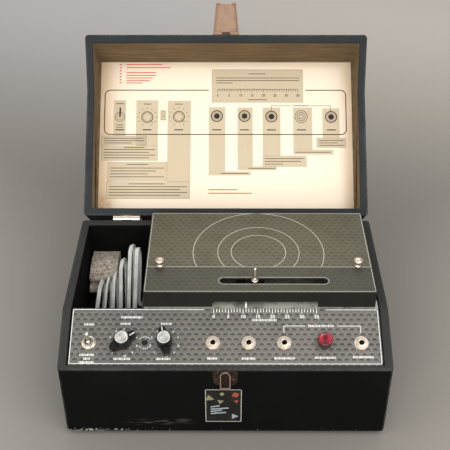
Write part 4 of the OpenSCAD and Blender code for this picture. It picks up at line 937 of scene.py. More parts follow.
@dataclass
class FrontMotif:
    """A generic, worn motif in a thin white border on the front face."""

    x0: float = -25.0
    x1: float = 20.5
    y0: float = 20.0
    y1: float = 79.0

    def build(self) -> None:
        """Makes the ground, the border and three sets of plain shapes."""
        at = AT.front()
        Print(0.12).bar(self.x0, self.y0, self.x1, self.y1).done(
            "motif_ground", Ink("motif_black", tint("171614"), tint("4a463f"), 0.4, 0.4),
            "case", "black_covering", at)
        inset = 1.0
        Print(0.2, -0.05).frame(self.x0 + inset, self.y0 + inset, self.x1 - inset,
                                self.y1 - inset, 0.9).done(
            "motif_border", Ink("motif_white", tint("b9b5aa"), tint("2b2926"), 0.6), "case",
            "white_paint", at)
        pale = Print(0.2, -0.05)
        for i, reach in enumerate((17.0, 12.0, 20.0, 9.0)):
            pale.line(2.0, (-17.0, 35.5 + 4.0 * i), (-17.0 + reach, 37.5 + 4.0 * i))
        pale.disc((11.0, 30.5), 5.4, 3, 30.0)
        pale.done("motif_pale_shapes", Ink("motif_pale", tint("9fa8ad"), tint("3a3a38"), 0.5),
                  "case", "white_paint", at)
        warm = Print(0.22, -0.05).disc((12.5, 69.0), 5.0, 4, 20.0).disc((13.5, 57.5), 3.4, 3, 80.0)
        warm.done("motif_warm_shapes", Ink("motif_orange", tint("a8503a"), tint("3a2a24"), 0.4),
                  "case", "white_paint", at)
        olive = Print(0.21, -0.05).disc((-19.5, 63.0), 6.4, 3, 10.0)
        olive.disc((-6.0, 57.0), 4.6, 3, 50.0).disc((-4.0, 70.5), 3.0, 6)
        olive.done("motif_olive_shapes", Ink("motif_olive", tint("8b8664"), tint("2f2d24"), 0.4),
                   "case", "white_paint", at)


@dataclass
class Lid:
    """The open lid: covering and lining, hinge leaves, hasp and carrying handle."""

    boards: tuple[str, ...] = ("lid_sides", "lid_front", "lid_back", "lid_top")
    hinge_x: float = 139.0
    leaf_y: float = 255.5
    top_z: float = 200.0

    def build(self) -> None:
        """Makes the covering, the metalwork and the handle."""
        piece("lid_covering", union_mesh(self.boards), LID_CLOTH, "lid",
              None, self.boards, Edges.ROUND)
        softened("hinge_lid_leaves", "lid_hinge_leaves", BRIGHT_NICKEL, "lid")
        softened("hasp_bracket", "hasp_plate", AGED_BRASS, "lid")
        softened("latch_hasp", "hasp", PINK_BRASS, "hasp", Edges.FINE)
        softened("handle_strap", "carrying_strap", STRAP, "lid", Edges.SOFT)
        softened("handle_caps", "strap_caps", NICKEL, "lid", Edges.SOFT)
        back = (AT.lid @ Matrix.Translation((0, self.leaf_y, 0))
                @ Matrix.Rotation(math.pi, 4, "Z") @ Matrix.Rotation(math.pi / 2, 4, "X"))
        leaf_screws("lid", back, self.hinge_x, (163.0, 172.0))
        plate = AT.lid @ Matrix.Rotation(math.pi / 2, 4, "X")
        rivets = [plate @ Matrix.Translation((side * 10.5, 134.5, 1.5)) for side in (-1, 1)]
        screw_heads("hasp_plate_rivets", NICKEL, "lid", rivets, 2.2, 1.0)
        caps = [AT.lid @ Matrix.Translation((side * 90.0, 127.0, self.top_z + 8.0))
                for side in (-1, 1)]
        screw_heads("strap_cap_screws", STEEL, "lid", caps, 3.4, 1.4)
        self.stitches()

    def stitches(self) -> None:
        """Sews two rows of stitches along the strap's grip."""
        rows = Print(0.5, 0.2)
        half_l, half_w = 1.3, 0.35
        for y in (-9.2, 9.2):
            for i in range(-12, 13):
                x = i * 3.8
                rows.bar(x - half_l, y - half_w, x + half_l, y + half_w)
        place = AT.lid @ Matrix.Translation((0, 127.0, self.top_z + 17.0))
        rows.done("strap_stitches", Ink("stitch_thread", tint("3a3835"), tint("161514"), 0.3),
                  "lid", "strap_black", place)


@dataclass
class PrintedSheet:
    """The printed sheet in the lid's ceiling: outlines, grey bands, a scale and plain bars."""

    face_z: float = 188.9
    outline: tuple[float, float, float, float] = (-180.0, 57.0, 178.0, 125.0)
    corner: float = 8.0
    gap: Point = (-26.4, 118.9)
    jacks: tuple[Point, ...] = ((-13.6, 96.9), (27.4, 96.8), (67.3, 97.6), (155.7, 98.1))
    knobs: tuple[Point, ...] = ((-116.8, 98.5), (-69.9, 97.9))
    bands: tuple[tuple[float, float, float, float], ...] = (
        (-166.8, 72.8, -148.6, 127.6), (-133.2, 72.8, -100.5, 142.8), (-97.4, 87.8, -89.0, 103.7),
        (-86.5, 73.3, -52.0, 196.7), (-183.6, 127.4, -117.7, 141.2), (-183.2, 142.6, -100.8, 164.5),
        (-173.7, 167.3, -86.7, 195.1), (-175.0, 196.5, -53.0, 221.7), (-25.4, 83.3, -1.1, 181.2),
        (-25.4, 181.0, 36.4, 186.9), (17.1, 83.8, 39.5, 173.6), (17.1, 173.4, 75.1, 179.2),
        (54.3, 83.8, 80.5, 157.9), (54.3, 157.7, 118.1, 173.4), (99.5, 83.7, 127.5, 148.5),
        (99.5, 148.3, 157.9, 155.5), (142.8, 85.0, 168.0, 130.8), (133.8, 130.6, 176.5, 144.8),
        (-20.9, 24.9, 114.2, 75.7))
    ink: Print = field(default_factory=lambda: Print(0.13))

    def box(self, to: Print, x0: float, y0: float, x1: float, y1: float) -> None:
        """Adds a rectangle given by closed-lid coordinates."""
        to.bar(x0, -y0, x1, -y1)

    def build(self) -> None:
        """Makes the sheet's prints."""
        dress(PAPER, "instruction_sheet")
        at = AT.ceiling(self.face_z)
        grey = Print(0.06)
        for band in self.bands:
            self.box(grey, *band)
        grey.done("sheet_grey_bands", SHEET_GREY, "lid", "paper", at)
        self.outlines()
        self.scale()
        self.symbols()
        self.word_bars()
        self.ink.done("sheet_black_print", SHEET_BLACK, "lid", "paper", at)
        self.red().done("sheet_red_print", SHEET_RED, "lid", "paper", at)

    def outlines(self) -> None:
        """Draws the rounded outline, open at the top, the boxes and the bracket."""
        x0, y0, x1, y1 = self.outline
        r, width = self.corner, 1.3
        ink = self.ink
        ink.line(width, (x0, -y0 - r), (x0, -y1 + r)).line(width, (x1, -y0 - r), (x1, -y1 + r))
        ink.line(width, (x0 + r, -y1), (x1 - r, -y1))
        ink.line(width, (x0 + r, -y0), (self.gap[0], -y0)).line(width, (self.gap[1], -y0),
                                                                (x1 - r, -y0))
        for cx, cy, start in ((x0 + r, -y0 - r, 90), (x1 - r, -y0 - r, 0), (x0 + r, -y1 + r, 180),
                              (x1 - r, -y1 + r, 270)):
            ink.arc((cx, cy), r, width, start, start + 90, 8)
        for band in self.bands[4:8] + (self.bands[17], self.bands[13], self.bands[18]):
            ink.frame(band[0], -band[1], band[2], -band[3], 0.25)
        ink.line(0.6, (67.4, -89), (67.4, -81), (96.8, -81))
        ink.line(0.6, (126.1, -81), (154.9, -81), (154.9, -89))

    def scale(self) -> None:
        """Draws the ruler with its ticks and numbers."""
        first, step = -12.3, 119.1 / 35
        self.ink.line(0.6, (first, -55.5), (106.8, -55.5))
        for i in range(36):
            reach = 60.0 if i % 5 == 0 else 58.6
            self.ink.line(0.7, (first + i * step, -55.5), (first + i * step, -reach))
            if i % 5 == 0:
                self.ink.number(str(i), (first + i * step, -65.3), 3.6)

    def symbols(self) -> None:
        """Draws the jacks, knobs, lamp and toggle."""
        ink = self.ink
        for x, y in self.jacks:
            ink.arc((x, -y), 8.2, 1.5).disc((x, -y), 4.4).arc((x, -y), 6.0, 0.5)
        for x, y in self.knobs:
            ink.arc((x, -y), 8.2, 1.1).arc((x, -y), 6.2, 0.5)
            for i in range(11):
                angle = math.radians(-60 + 30 * i)
                spot = (x + 13.6 * math.cos(angle), -y + 13.6 * math.sin(angle))
                ink.disc(spot, 0.8, 6)
            ink.line(0.7, (x + 5.0, -y - 5.0), (x + 8.6, -y - 8.6))
        for radius in (9.2, 6.2, 3.2):
            ink.arc((111.4, -97.6), radius, 0.8)
        ink.arc((-157.3, -98.0), 7.2, 0.7).arc((-157.3, -98.0), 4.6, 0.5)
        ink.line(2.2, (-157.3, -97.5), (-157.0, -85.0))
        ink.arc((-93.2, -93.0), 3.0, 0.4).arc((-93.2, -100.0), 3.0, 0.4)

    def word_bars(self) -> None:
        """Lays fine bars where lines of writing would stand."""
        rows = [(-183.0 + 3, 131, -122), (-180, 134.6, -121), (-180, 138, -139)]
        rows += [(-180, 148 + 4.2 * i, -104 - 9 * (i % 2)) for i in range(4)]
        rows += [(-170, 176 + 4.4 * i, -91 - 12 * (i % 3)) for i in range(4)]
        rows += [(-171, 204 + 4.2 * i, -57 - 10 * (i % 2)) for i in range(4)]
        rows += [(-146, 170.6, -114), (-142, 199.8, -90), (-150, 144.8, -120)]
        rows += [(-8 + 0.5, 184, 33), (33, 176.3, 72), (57, 161.6, 114), (57, 165.8, 110),
                 (57, 169.8, 84), (102, 151.9, 154)]
        rows += [(137, 134.2 + 3.6 * i, 173 - 8 * (i % 2)) for i in range(3)]
        rows += [(34, 31.6, 59), (-14.7, 38, 109), (-14.7, 42, 109), (-14.6, 45.7, 10),
                 (33, 71.6, 60.5)]
        for x0, y, x1 in rows:
            self.box(self.ink, x0, y - 0.45, x1, y + 0.45)
        for x, y in (*self.jacks, *self.knobs, (111.4, 97.6), (-157.3, 98.0)):
            self.box(self.ink, x - 6.5, 117.2, x + 6.5, 118.8)
        for x0, y, x1 in ((-122, 78.5, -111), (-76, 78.5, -64), (-163, 78.0, -152),
                          (-163, 110.5, -152), (-163, 114, -152), (100, 81, 123)):
            self.box(self.ink, x0, y - 0.5, x1, y + 0.5)

    def red(self) -> Print:
        """Returns the red bars and marks."""
        red = Print(0.12)
        for y, end in ((17, -95.7), (22, -83.5), (29.5, -105), (34, -105), (38, -109),
                       (42, -114), (45.7, -124.7)):
            self.box(red, -149, y - 0.65, end, y + 0.65)
        for i in range(7):
            self.box(red, -159, 16.4 + 4.7 * i, -156.3, 18.2 + 4.7 * i)
        self.box(red, -25.5, 207.6, 17.1, 209.0)
        self.box(red, -25.5, 212.9, 37.7, 214.3)
        return red


@dataclass
class ControlPanel:
    """The sloping panel with its lines, numbers, toggle, knobs, trimmer, jacks and lamp."""

    row_u: float = 35.0
    half_w: float = 188.0
    low_u: float = 8.6
    high_u: float = 79.3
    toggle_x: float = -165.0
    sustain_x: float = -123.5
    trim_x: float = -97.3
    volume_x: float = -73.3
    lamp_x: float = 119.8
    jacks: tuple[float, ...] = (-15.0, 28.3, 71.2, 164.3)
    zero_x: float = -14.4
    step: float = 3.61
    last_tick: int = 35
    ticks: Point = (73.7, 75.3)
    scale_number: tuple[float, float] = (68.9, 4.5)
    scale_gap: Point = (-27.0, 124.7)
    digit: float = 2.7
    dial_r: float = 17.2
    trim_r: float = 7.7
    toggle_tilt: float = -12.0
    knob_turns: Point = (-55.0, 12.0)
    bracket: tuple[float, float, float] = (57.0, 97.0, 137.0)
    mark_half_h: float = 1.35
    mark_widths: Point = (0.8, 1.7)
    mark_gap: float = 0.75
    ribs: int = 28
    marks: tuple[tuple[float, float, float], ...] = (
        (-172.0, -159.0, 58.6), (-175.0, -157.5, 19.6), (-170.0, -162.0, 14.8),
        (-175.0, -157.5, 10.2), (-127.7, -100.5, 67.9), (-127.7, -115.6, 59.5),
        (-78.5, -65.3, 59.5), (-134.0, -113.0, 14.6), (-83.0, -65.0, 14.6), (-21.8, -9.7, 15.2),
        (19.8, 36.8, 15.2), (58.8, 84.0, 15.6), (107.6, 133.3, 16.4), (153.0, 178.0, 17.2),
        (32.3, 63.3, 64.5), (101.0, 133.0, 57.0))

    def build(self) -> None:
        """Makes the panel and all that stands on it."""
        softened("control_panel", "panel", PANEL_METAL, "case", Edges.FINE)
        self.lines()
        self.toggle()
        self.knob(self.sustain_x, "sustain", self.knob_turns[0])
        self.knob(self.volume_x, "volume", self.knob_turns[1])
        softened("trim_shaft", "trimmer_shaft", TRIM_BLACK, "trimmer", Edges.HAIR)
        dress(CHASSIS, "potentiometers")
        dress(STEEL, "sustain_shaft", "volume_shaft")
        self.jack_row()
        self.lamp()

    def lines(self) -> None:
        """Prints the border, the delay scale, the bracket and the knobs' numbers."""
        white = Print(0.07)
        left, right = -self.half_w + 1.1, self.half_w - 1.1
        low, high = self.low_u, self.high_u - 1.1
        white.line(0.85, (self.scale_gap[0], high), (left, high), (left, low), (right, low),
                   (right, high), (self.scale_gap[1], high))
        number_u, number_h = self.scale_number
        for i in range(self.last_tick + 1):
            x = self.zero_x + self.step * i
            five = i % 5 == 0
            white.line(0.9, (x, self.high_u - 0.4), (x, self.ticks[0 if five else 1]))
            if five:
                white.number(str(i), (x, number_u), number_h)
        u, stop, go_on = self.bracket
        first, last = self.jacks[2:]
        white.line(0.8, (first, u - 8.5), (first, u), (stop, u))
        white.line(0.8, (go_on, u), (last, u), (last, u - 8.3))
        for x in (self.sustain_x, self.volume_x):
            for i in range(10):
                angle = math.radians(225 - 34 * i)
                spot = Vector((x, self.row_u)) + self.dial_r * Vector((math.cos(angle),
                                                                       math.sin(angle)))
                white.number(str(i + 1), (spot.x, spot.y), self.digit)
        for i in range(12):
            start = (30 if i < 6 else 210) + 20 * (i % 6)
            white.arc((self.trim_x, self.row_u), self.trim_r, 1.0, start + 4, start + 15, 3)
        for mark in self.marks:
            self.word_place(white, *mark)
        white.done("panel_lines", PANEL_WHITE, "case", "white_paint", AT.panel(0, 0))
        bush = [(2.62, -1.9), (3.6, -1.9), (3.6, -0.5), (3.0, -0.3), (2.62, -0.6), (2.62, -1.9)]
        piece("trimmer_bush", spun(bush, 32), TRIM_BLACK, "case",
              AT.panel(self.trim_x, self.row_u))

    def word_place(self, white: Print, x: float, end: float, u: float) -> None:
        """Fills the place of a word with upright bars of two widths."""
        while x < end - 0.6:
            width = self.mark_widths[0 if int(x * 7) % 3 else 1]
            white.bar(x, u - self.mark_half_h, min(x + width, end), u + self.mark_half_h)
            x += width + self.mark_gap

    def toggle(self) -> None:
        """Makes the toggle's ringed bush and its bat lever."""
        dress(CHASSIS, "toggle_switch")
        at = AT.panel(self.toggle_x, self.row_u)
        rings = [(5.62, 0.62), (8.3, 0.62), (8.5, 0.8), (8.4, 1.5), (7.6, 1.7), (7.45, 2.3),
                 (7.1, 2.6), (6.6, 2.7), (6.4, 3.3), (5.62, 3.4), (5.62, 0.62)]
        piece("toggle_rings", spun(rings, 40), BRIGHT_NICKEL, "case", at,
              edges=Edges.HAIR)
        lever = [(0, 0), (1.6, 0.0), (1.6, 4.5), (1.9, 8.0), (2.5, 13.0), (2.85, 16.0),
                 (2.9, 17.2), (2.6, 18.2), (1.9, 18.8), (1.0, 19.0), (0, 19.05)]
        bm = spun(lever, 32)
        ball = bmesh.new()
        bmesh.ops.create_uvsphere(ball, u_segments=24, v_segments=14, radius=3.9)
        joined(bm, ball)
        tilt = Matrix.Rotation(math.radians(self.toggle_tilt), 4, "X")
        piece("toggle_bat", bm, BRIGHT_NICKEL, "toggle",
              AT.panel(self.toggle_x, self.row_u, 0.0) @ tilt, ("toggle_lever",))

    def knob(self, x: float, name: str, turn: float) -> None:
        """Makes one bar knob with its white line and its spun cap."""
        body = name + "_control"
        softened(name + "_knob", name + "_bar_knob", KNOB_BLACK, body, Edges.SOFT)
        at = AT.panel(x, self.row_u, -1.5) @ Matrix.Rotation(math.radians(turn), 4, "Z")
        Print(8.14, -7.9).line(1.3, (0, 10.4), (0, 16.4)).done(
            name + "_pointer_line", WHITE_PAINT, body, "white_paint", at)
        cap = [(0, 0.0), (7.8, 0.0), (7.95, 0.3), (7.8, 0.75), (7.2, 0.98), (6.6, 0.86),
               (6.2, 0.8), (3.0, 0.9), (0, 0.95)]
        finish = Spun("spun_cap_" + name, tint("f2efe8"), AT.panel(x, self.row_u), 0.5)
        piece(name + "_spun_cap", spun(cap, 56), finish, body,
              AT.panel(x, self.row_u, 17.0), (name + "_cap",))
        self.flutes(x, name)

    def flutes(self, x: float, name: str) -> None:
        """Cuts shallow upright ribs round the knob's barrel."""
        bm = bmesh.new()
        for i in range(self.ribs):
            turn = Matrix.Rotation(math.tau * i / self.ribs, 4, "Z")
            place = turn @ Matrix.Translation((9.1, 0, 13.3)) @ Matrix.Diagonal((0.8, 0.9, 7.6, 1))
            bmesh.ops.create_cone(bm, cap_ends=True, segments=6, radius1=0.6, radius2=0.5,
                                  depth=1.0, matrix=place)
        piece(name + "_knob_ribs", bm, KNOB_BLACK, name + "_control",
              AT.panel(x, self.row_u, -1.5))

    def jack_row(self) -> None:
        """Makes the jacks' collars, washers and nuts."""
        dress(CHASSIS, "jack_sockets")
        softened("panel_nuts", "nuts", NICKEL, "case", Edges.FINE)
        ring = [(3.27, 3.0), (3.6, 3.12), (4.3, 3.12), (4.72, 2.9), (4.72, 2.3), (4.5, 2.15),
                (4.5, 1.0), (3.27, 1.0), (3.27, 3.0)]
        lip = [(4.6, 2.1), (6.1, 2.1), (6.2, 2.25), (6.1, 2.5), (5.4, 2.62), (4.6, 2.6),
               (4.6, 2.1)]
        bm = bmesh.new()
        for x in self.jacks:
            for profile in (ring, lip):
                joined(bm, spun(profile), Matrix.Translation((x, self.row_u, -3.0)))
        piece("jack_rings", bm, NICKEL, "case", AT.slope)

    def lamp(self) -> None:
        """Makes the lamp's ruby lens with faint flutes, and its bezel."""
        softened("lamp_holder", "lamp_bezel", NICKEL, "case", Edges.FINE)
        at = AT.panel(self.lamp_x, self.row_u)
        profile = [(0, 2.06), (8.75, 2.06), (9.0, 2.5), (9.05, 6.0), (9.08, 10.8),
                   (9.05, 12.8), (8.8, 13.6), (8.3, 14.1), (7.7, 14.35), (7.2, 14.2), (6.6, 13.8),
                   (5.0, 13.7), (2.5, 13.9), (0, 14.0)]
        bm = spun(profile, 96)
        for vert in bm.verts:
            flat = math.hypot(vert.co.x, vert.co.y)
            if flat > 8.0 and 2.1 < vert.co.z < 12.5:
                ripple = 1 - 0.012 * (1 + math.cos(24 * math.atan2(vert.co.y, vert.co.x)))
                vert.co.x *= ripple
                vert.co.y *= ripple
        piece("ruby_lens", bm, Lens("ruby_glass", at), "case", at, ("lamp_lens",),
              smooth=50.0)


@dataclass
class DeckCover:
    """The tape deck's cover: rear cover, front strip, screws, lever, pointer and lines."""

    left: float = -100.5
    right: float = 185.0
    front: float = 77.0
    seam: float = 124.0
    back: float = 242.0
    top: float = 167.0
    ring_at: Point = (42.4, 156.0)
    radii: tuple[float, ...] = (84.3, 52.5, 35.2)
    slot: tuple[float, float, float] = (-6.8, 126.75, 98.5)
    thumb: tuple[Point, ...] = ((-83.0, 128.2), (167.5, 128.2))
    lever_at: Point = (36.51, 98.5)

    def build(self) -> None:
        """Makes the cover's pieces."""
        softened("tape_cover", "rear_cover", COVER_METAL, "case", Edges.SOFT)
        softened("slider_fascia", "front_strip", FASCIA_METAL, "case", Edges.SOFT)
        self.lines()
        self.screws()
        self.lever()

    def lines(self) -> None:
        """Prints the pale edge lines, the rings and the outline of the slot."""
        pale = Print(0.06)
        width = 0.65
        x0, x1 = self.left + 1.4, self.right - 1.4
        pale.frame(x0, self.seam + 1.4, x1, self.back - 1.6, width)
        pale.line(width, (x0, self.seam - 0.6), (x0, self.front + 1.4), (x1, self.front + 1.4),
                  (x1, self.seam - 0.6))
        cx, cy = self.ring_at
        for radius in self.radii:
            start = math.degrees(math.asin((self.seam + 1.4 - cy) / radius))
            pale.arc(self.ring_at, radius, 0.85, start, 180 - start, 72)
        x0, x1, y = self.slot
        margin, tip, half, end = 1.6, 4.4, 6.6, 2.6
        points = [(x0 - margin, y - end), (x0 + tip - margin, y - half),
                  (x1 - tip + margin, y - half), (x1 + margin, y - end), (x1 + margin, y + end),
                  (x1 - tip + margin, y + half), (x0 + tip - margin, y + half),
                  (x0 - margin, y + end), (x0 - margin, y - end)]
        pale.line(0.6, *points)
        pale.done("cover_lines", COVER_LINE, "case", "cover_metal", AT.deck(0, 0, self.top))

    def screws(self) -> None:
        """Makes the two thumb screws with their domed, finely notched heads."""
        profile = [(0, 0), (4.0, 0), (4.1, 0.5), (3.2, 1.2), (2.6, 2.2), (2.55, 4.0), (3.2, 5.0),
                   (5.2, 6.1), (5.9, 6.7), (6.2, 7.4), (6.2, 8.1), (5.9, 8.9), (5.1, 9.8),
                   (3.6, 10.6), (1.8, 10.95), (0, 11.0)]
        bm = bmesh.new()
        for x, y in self.thumb:
            one = spun(profile, 60)
            for vert in one.verts:
                if 7.0 < vert.co.z < 8.3:
                    angle = math.atan2(vert.co.y, vert.co.x)
                    vert.co.xy *= 1 - 0.03 * (1 + math.cos(30 * angle)) / 2
            joined(one, spun([(0, -13.9), (1.9, -13.9), (1.9, 0.1), (0, 0.1)], 20))
            joined(bm, one, Matrix.Translation((x, y, self.top)))
        piece("domed_thumb_screws", bm, NICKEL, "case", AT.case, ("thumb_screws",))

    def lever(self) -> None:
        """Makes the tapered lever on its foot and the white pointer."""
        profile = [(0, -9.0), (1.8, -9.0), (1.8, 0.4), (4.2, 0.4), (4.4, 0.6), (4.4, 1.2),
                   (4.1, 1.6), (3.2, 2.1), (2.95, 2.7), (3.0, 3.4), (3.7, 3.9), (3.9, 4.3),
                   (3.9, 4.8), (3.6, 5.3), (3.3, 5.7), (3.2, 8.0), (2.7, 13.0), (2.15, 17.5),
                   (1.95, 18.9), (1.6, 19.6), (0.9, 19.95), (0, 20.0)]
        piece("tapered_lever", spun(profile, 40), BRIGHT_NICKEL, "head_slide",
              AT.deck(*self.lever_at, self.top), ("slide_lever",))
        softened("slide_pointer", "white_pointer", WHITE_PAINT, "head_slide",
                 Edges.HAIR)


@dataclass
class Lead:
    """The folded mains lead: route of six loops, flat twin section, bushing and plug."""

    width: float = 6.0
    thick: float = 3.2
    exit_at: tuple[float, float, float] = (-107.5, 160.0, 72.0)
    plug_at: tuple[float, float, float] = (-176.0, 122.0, 15.0)
    rows: tuple[tuple[float, ...], ...] = (
        (-116, 92, 22, 196, 128, 12, 0), (-122, 92, 22, 212, 140, 12, 1),
        (-132, 92, 20, 216, 124, 13, -2), (-142, 92, 20, 184, 114, 13, -3),
        (-153, 92, 20, 174, 110, 12, 2), (-165, 90, 18, 174, 106, 12, 4),
        (-177, 90, 18, 170, 102, 12, 7))
    steps: int = 24
    first_step: int = 7
    finer: int = 4

    def track(self, step: int, half_l: float, r: float) -> Point:
        """Returns a place on a long loop with round ends, along and across it."""
        s = half_l - r
        turn = math.radians(22.5)
        if step < 4:
            return (-s - r * math.cos(turn * step), r * math.sin(turn * step))
        if step < 8:
            return (-s + 2 * s * (step - 4) / 4, r)
        if step < 16:
            return (s + r * math.sin(turn * (step - 8)), r * math.cos(turn * (step - 8)))
        if step < 20:
            return (s - 2 * s * (step - 16) / 4, -r)
        return (-s - r * math.sin(turn * (step - 20)), -r * math.cos(turn * (step - 20)))

    def point(self, step: int) -> Vector:
        """Returns the route's point at a step along the loops."""
        i = min(step // self.steps, len(self.rows) - 2)
        f = step / self.steps - i
        row = [a * (1 - f) + b * f for a, b in zip(self.rows[i], self.rows[i + 1])]
        low, high = Vector((row[1], row[2])), Vector((row[3], row[4]))
        half_l = (high - low).length / 2
        e = (high - low) / (2 * half_l)
        along, across = self.track(step % self.steps, half_l, row[5])
        c = (low + high) / 2 + along * e + across * Vector((e.y, -e.x))
        return Vector((row[0] + row[6] * along / half_l, c.x, c.y))

    def route(self) -> list[Vector]:
        """Returns the route's points in the case's millimetres, as the CAD lead has them."""
        start, plug = Vector(self.exit_at), Vector(self.plug_at)
        first, last = self.first_step, self.steps * (len(self.rows) - 1)
        into = [start - Vector((6, 0, 0)), start - Vector((14, 0, 0)),
                self.point(first) - Vector((0, 8, 8)), self.point(first)]
        out = [self.point(last), self.point(last) + Vector((0, 8, -7)),
               plug - Vector((0, 18, 0)), plug - Vector((0, 6, 0))]
        return [start, *(self.bezier(into, i / 5) for i in range(5)),
                *(self.point(i) for i in range(first, last)),
                *(self.bezier(out, i / 4) for i in range(5)), plug]

    def bezier(self, p: Sequence[Vector], f: float) -> Vector:
        """Returns a point of a cubic curve."""
        g = 1 - f
        return g ** 3 * p[0] + 3 * f * g * g * p[1] + 3 * f * f * g * p[2] + f ** 3 * p[3]

    def smoothed(self, points: Sequence[Vector]) -> list[Vector]:
        """Returns a finer line through the points, rounded between them."""
        out = []
        for i in range(len(points) - 1):
            a, b = points[max(i - 1, 0)], points[i]
            c, d = points[i + 1], points[min(i + 2, len(points) - 1)]
            for k in range(self.finer):
                t = k / self.finer
                out.append(0.5 * (2 * b + (c - a) * t + (2 * a - 5 * b + 4 * c - d) * t * t
                                  + (3 * b - a - 3 * c + d) * t ** 3))
        return [*out, points[-1]]

    def section(self) -> list[Point]:
        """Returns the twin section: two round cores that meet in a groove."""
        core = self.thick / 2
        offset = self.width / 2 - core
        reach = math.pi - math.acos(offset / core)
        arc = [-reach + 2 * reach * i / 8 for i in range(9)]
        right = [(offset + core * math.cos(a), core * math.sin(a)) for a in arc[:-1]]
        return right + [(-x, -y) for x, y in right]

    def build(self) -> None:
        """Makes the lead, its bushing and its plug, and declares the lead."""
        line = self.smoothed(self.route())
        section = self.section()
        bm = bmesh.new()
        bmesh.ops.create_grid(bm, x_segments=len(line) - 1, y_segments=len(section), size=0.5)
        bm.verts.ensure_lookup_table()
        side = Vector((0, -0.7, -0.7))
        sides = []
        for i in range(len(line)):
            tangent = (line[min(i + 1, len(line) - 1)] - line[max(i - 1, 0)]).normalized()
            side = (side - side.dot(tangent) * tangent).normalized()
            sides.append((side.copy(), tangent.cross(side)))
        columns, rows = len(line), len(section)
        for vert in bm.verts:
            i = round((vert.co.x + 0.5) * (columns - 1))
            j = round((vert.co.y + 0.5) * rows) % rows
            wide, thin = sides[i]
            a, b = section[j]
            vert.co = line[i] + wide * a + thin * b
        bmesh.ops.remove_doubles(bm, verts=bm.verts[:], dist=0.01)
        bmesh.ops.holes_fill(bm, edges=[e for e in bm.edges if e.is_boundary], sides=0)
        bmesh.ops.recalc_face_normals(bm, faces=bm.faces[:])
        lead = piece("mains_lead", bm, CORD_GREY, "case", AT.case,
                     ("power_cord",), smooth=50.0)
        bushing = self.bushing()
        plug = softened("power_plug", "mains_plug", PLUG, "case", Edges.SOFT)
        path = [AT.case @ p for p in line]
        length = sum((b - a).length for a, b in zip(path, path[1:]))
        LOG.info("lead: %.4f m", length)

    def bushing(self) -> bpy.types.Object:
        """Returns the rounded bushing that holds the lead in the partition."""
        return softened("cord_bushing", "lead_bushing", RUBBER, "case",
                        Edges.SOFT)


@dataclass
class StorageWell:
    """The well's lining and its folded felt mat."""

    voxel: float = 0.0009
    nap: float = 0.00045

    def build(self) -> None:
        """Makes the partition's lining and the mat."""
        softened("partition", "well_partition", WELL_BLACK, "case", Edges.SOFT)
        self.mat()

    def mat(self) -> None:
        """Rounds the folded mat and raises its nap by seeded noise."""
        bm = node_mesh("felt_pad")
        mat = piece("felt_mat", bm, FELT, "case", None, ("felt_pad",), smooth=180.0)
        remesh = mat.modifiers.new("felt", "REMESH")
        remesh.mode = "VOXEL"
        remesh.voxel_size = self.voxel
        smooth = mat.modifiers.new("soft", "SMOOTH")
        smooth.iterations = 5
        graph = bpy.context.evaluated_depsgraph_get()
        mesh = bpy.data.meshes.new_from_object(mat.evaluated_get(graph))
        mat.modifiers.clear()
        for vert in mesh.vertices:
            coarse = noise.noise(vert.co * 90.0)
            fine = noise.noise(vert.co * 480.0)
            vert.co += vert.normal * self.nap * (coarse * 1.2 + fine * 0.8 - 0.6)
        mesh.polygons.foreach_set("use_smooth", [True] * len(mesh.polygons))
        old = mat.data
        mat.data = mesh
        bpy.data.meshes.remove(old)


@dataclass
class InnerWorks:
    """The transport and electronics under the panel and the cover."""

    def build(self) -> None:
        """Finishes the inner nodes, whose shapes are right as they are."""
        dress(CHASSIS, "chassis")
        dress(DECK_PAINT, "transport_deck")
        dress(STEEL, "guide_pins", "record_head", "fixed_heads", "capstan_flywheel",
              "pinch_arm", "motor_pulley")
        dress(BLACK_OXIDE, "head_carriage")
        dress(BRONZE, "capstan_bearing")
        dress(RUBBER, "pinch_roller", "drive_belt")
        dress(MOTOR_GREY, "drive_motor")
        dress(CARTRIDGE, "tape_cartridge")
        dress(TAPE, "tape_reel", "tape_loop")
        dress(BOARD, "circuit_board")
        dress(IRON, "power_transformer")


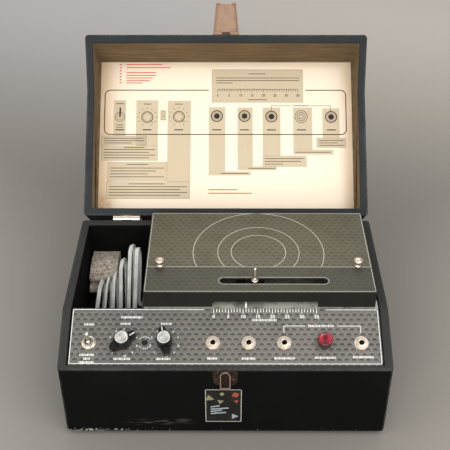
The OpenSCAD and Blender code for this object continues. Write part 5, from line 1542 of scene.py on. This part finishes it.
@dataclass
class Studio:
    """Floor, camera, lamps and world."""

    camera_at: tuple[float, float, float] = (0.002888, -0.95910, 0.86733)
    tilt: float = 53.4147
    roll: float = 0.06
    pan: float = 0.1892
    lens: float = 69.25
    floor_size: float = 8.0
    world: float = 0.5
    aim_at: tuple[float, float, float] = (0, 0, 0.12)
    lamps: tuple[tuple[str, tuple[float, float, float], float, float], ...] = (
        ("key", (0.8, -1.1, 1.8), 1.3, 19.0), ("front", (-0.3, -1.7, 0.75), 1.1, 17.0),
        ("fill", (-1.2, -0.7, 1.6), 1.3, 9.0), ("rear", (0.1, 1.3, 1.8), 1.4, 10.0))

    def build(self) -> None:
        """Sets up the scene round the object."""
        scene = bpy.context.scene
        data = bpy.data.cameras.new("camera")
        data.lens = self.lens
        data.sensor_width = 36.0
        camera = bpy.data.objects.new("camera", data)
        camera.location = self.camera_at
        camera.rotation_euler = Euler([math.radians(a) for a in (self.tilt, self.roll, self.pan)])
        scene.collection.objects.link(camera)
        scene.camera = camera
        scene.view_settings.view_transform = "Standard"
        self.floor()
        for lamp in self.lamps:
            self.lamp(*lamp)
        world = bpy.data.worlds.new("studio")
        world.use_nodes = True
        sky = world.node_tree.nodes["Background"].inputs
        sky["Color"].default_value = (1, 1, 1, 1)
        sky["Strength"].default_value = self.world
        scene.world = world

    def floor(self) -> None:
        """Makes the floor, which isn't part of the object."""
        bm = bmesh.new()
        bmesh.ops.create_grid(bm, x_segments=1, y_segments=1, size=self.floor_size / 2)
        mesh = bpy.data.meshes.new("studio_floor")
        bm.to_mesh(mesh)
        bm.free()
        mesh.materials.append(Floor("studio_paper", tint("858079")).material())
        floor = bpy.data.objects.new("studio_floor", mesh)
        bpy.context.scene.collection.objects.link(floor)

    def lamp(self, name: str, at: tuple[float, float, float], size: float,
             power: float) -> None:
        """Hangs a square soft lamp that faces the object."""
        data = bpy.data.lights.new(name, "AREA")
        data.energy = power
        data.size = size
        lamp = bpy.data.objects.new(name, data)
        lamp.location = at
        aim = Vector(self.aim_at) - Vector(at)
        lamp.rotation_euler = aim.to_track_quat("-Z", "Y").to_euler()
        bpy.context.scene.collection.objects.link(lamp)


def main() -> None:
    """Builds the studio and the sub-assemblies in order and notes the sizes."""
    logging.basicConfig(level=logging.INFO, format="%(message)s")
    assemblies: list[Any] = [Studio(), Lead(), Case(), FrontMotif(), Lid(), PrintedSheet(),
                             ControlPanel(), DeckCover(), StorageWell(), InnerWorks()]
    for assembly in assemblies:
        LOG.info("-- %s", type(assembly).__name__)
        assembly.build()
    bpy.context.view_layer.update()


if __name__ == "__main__":
    main()
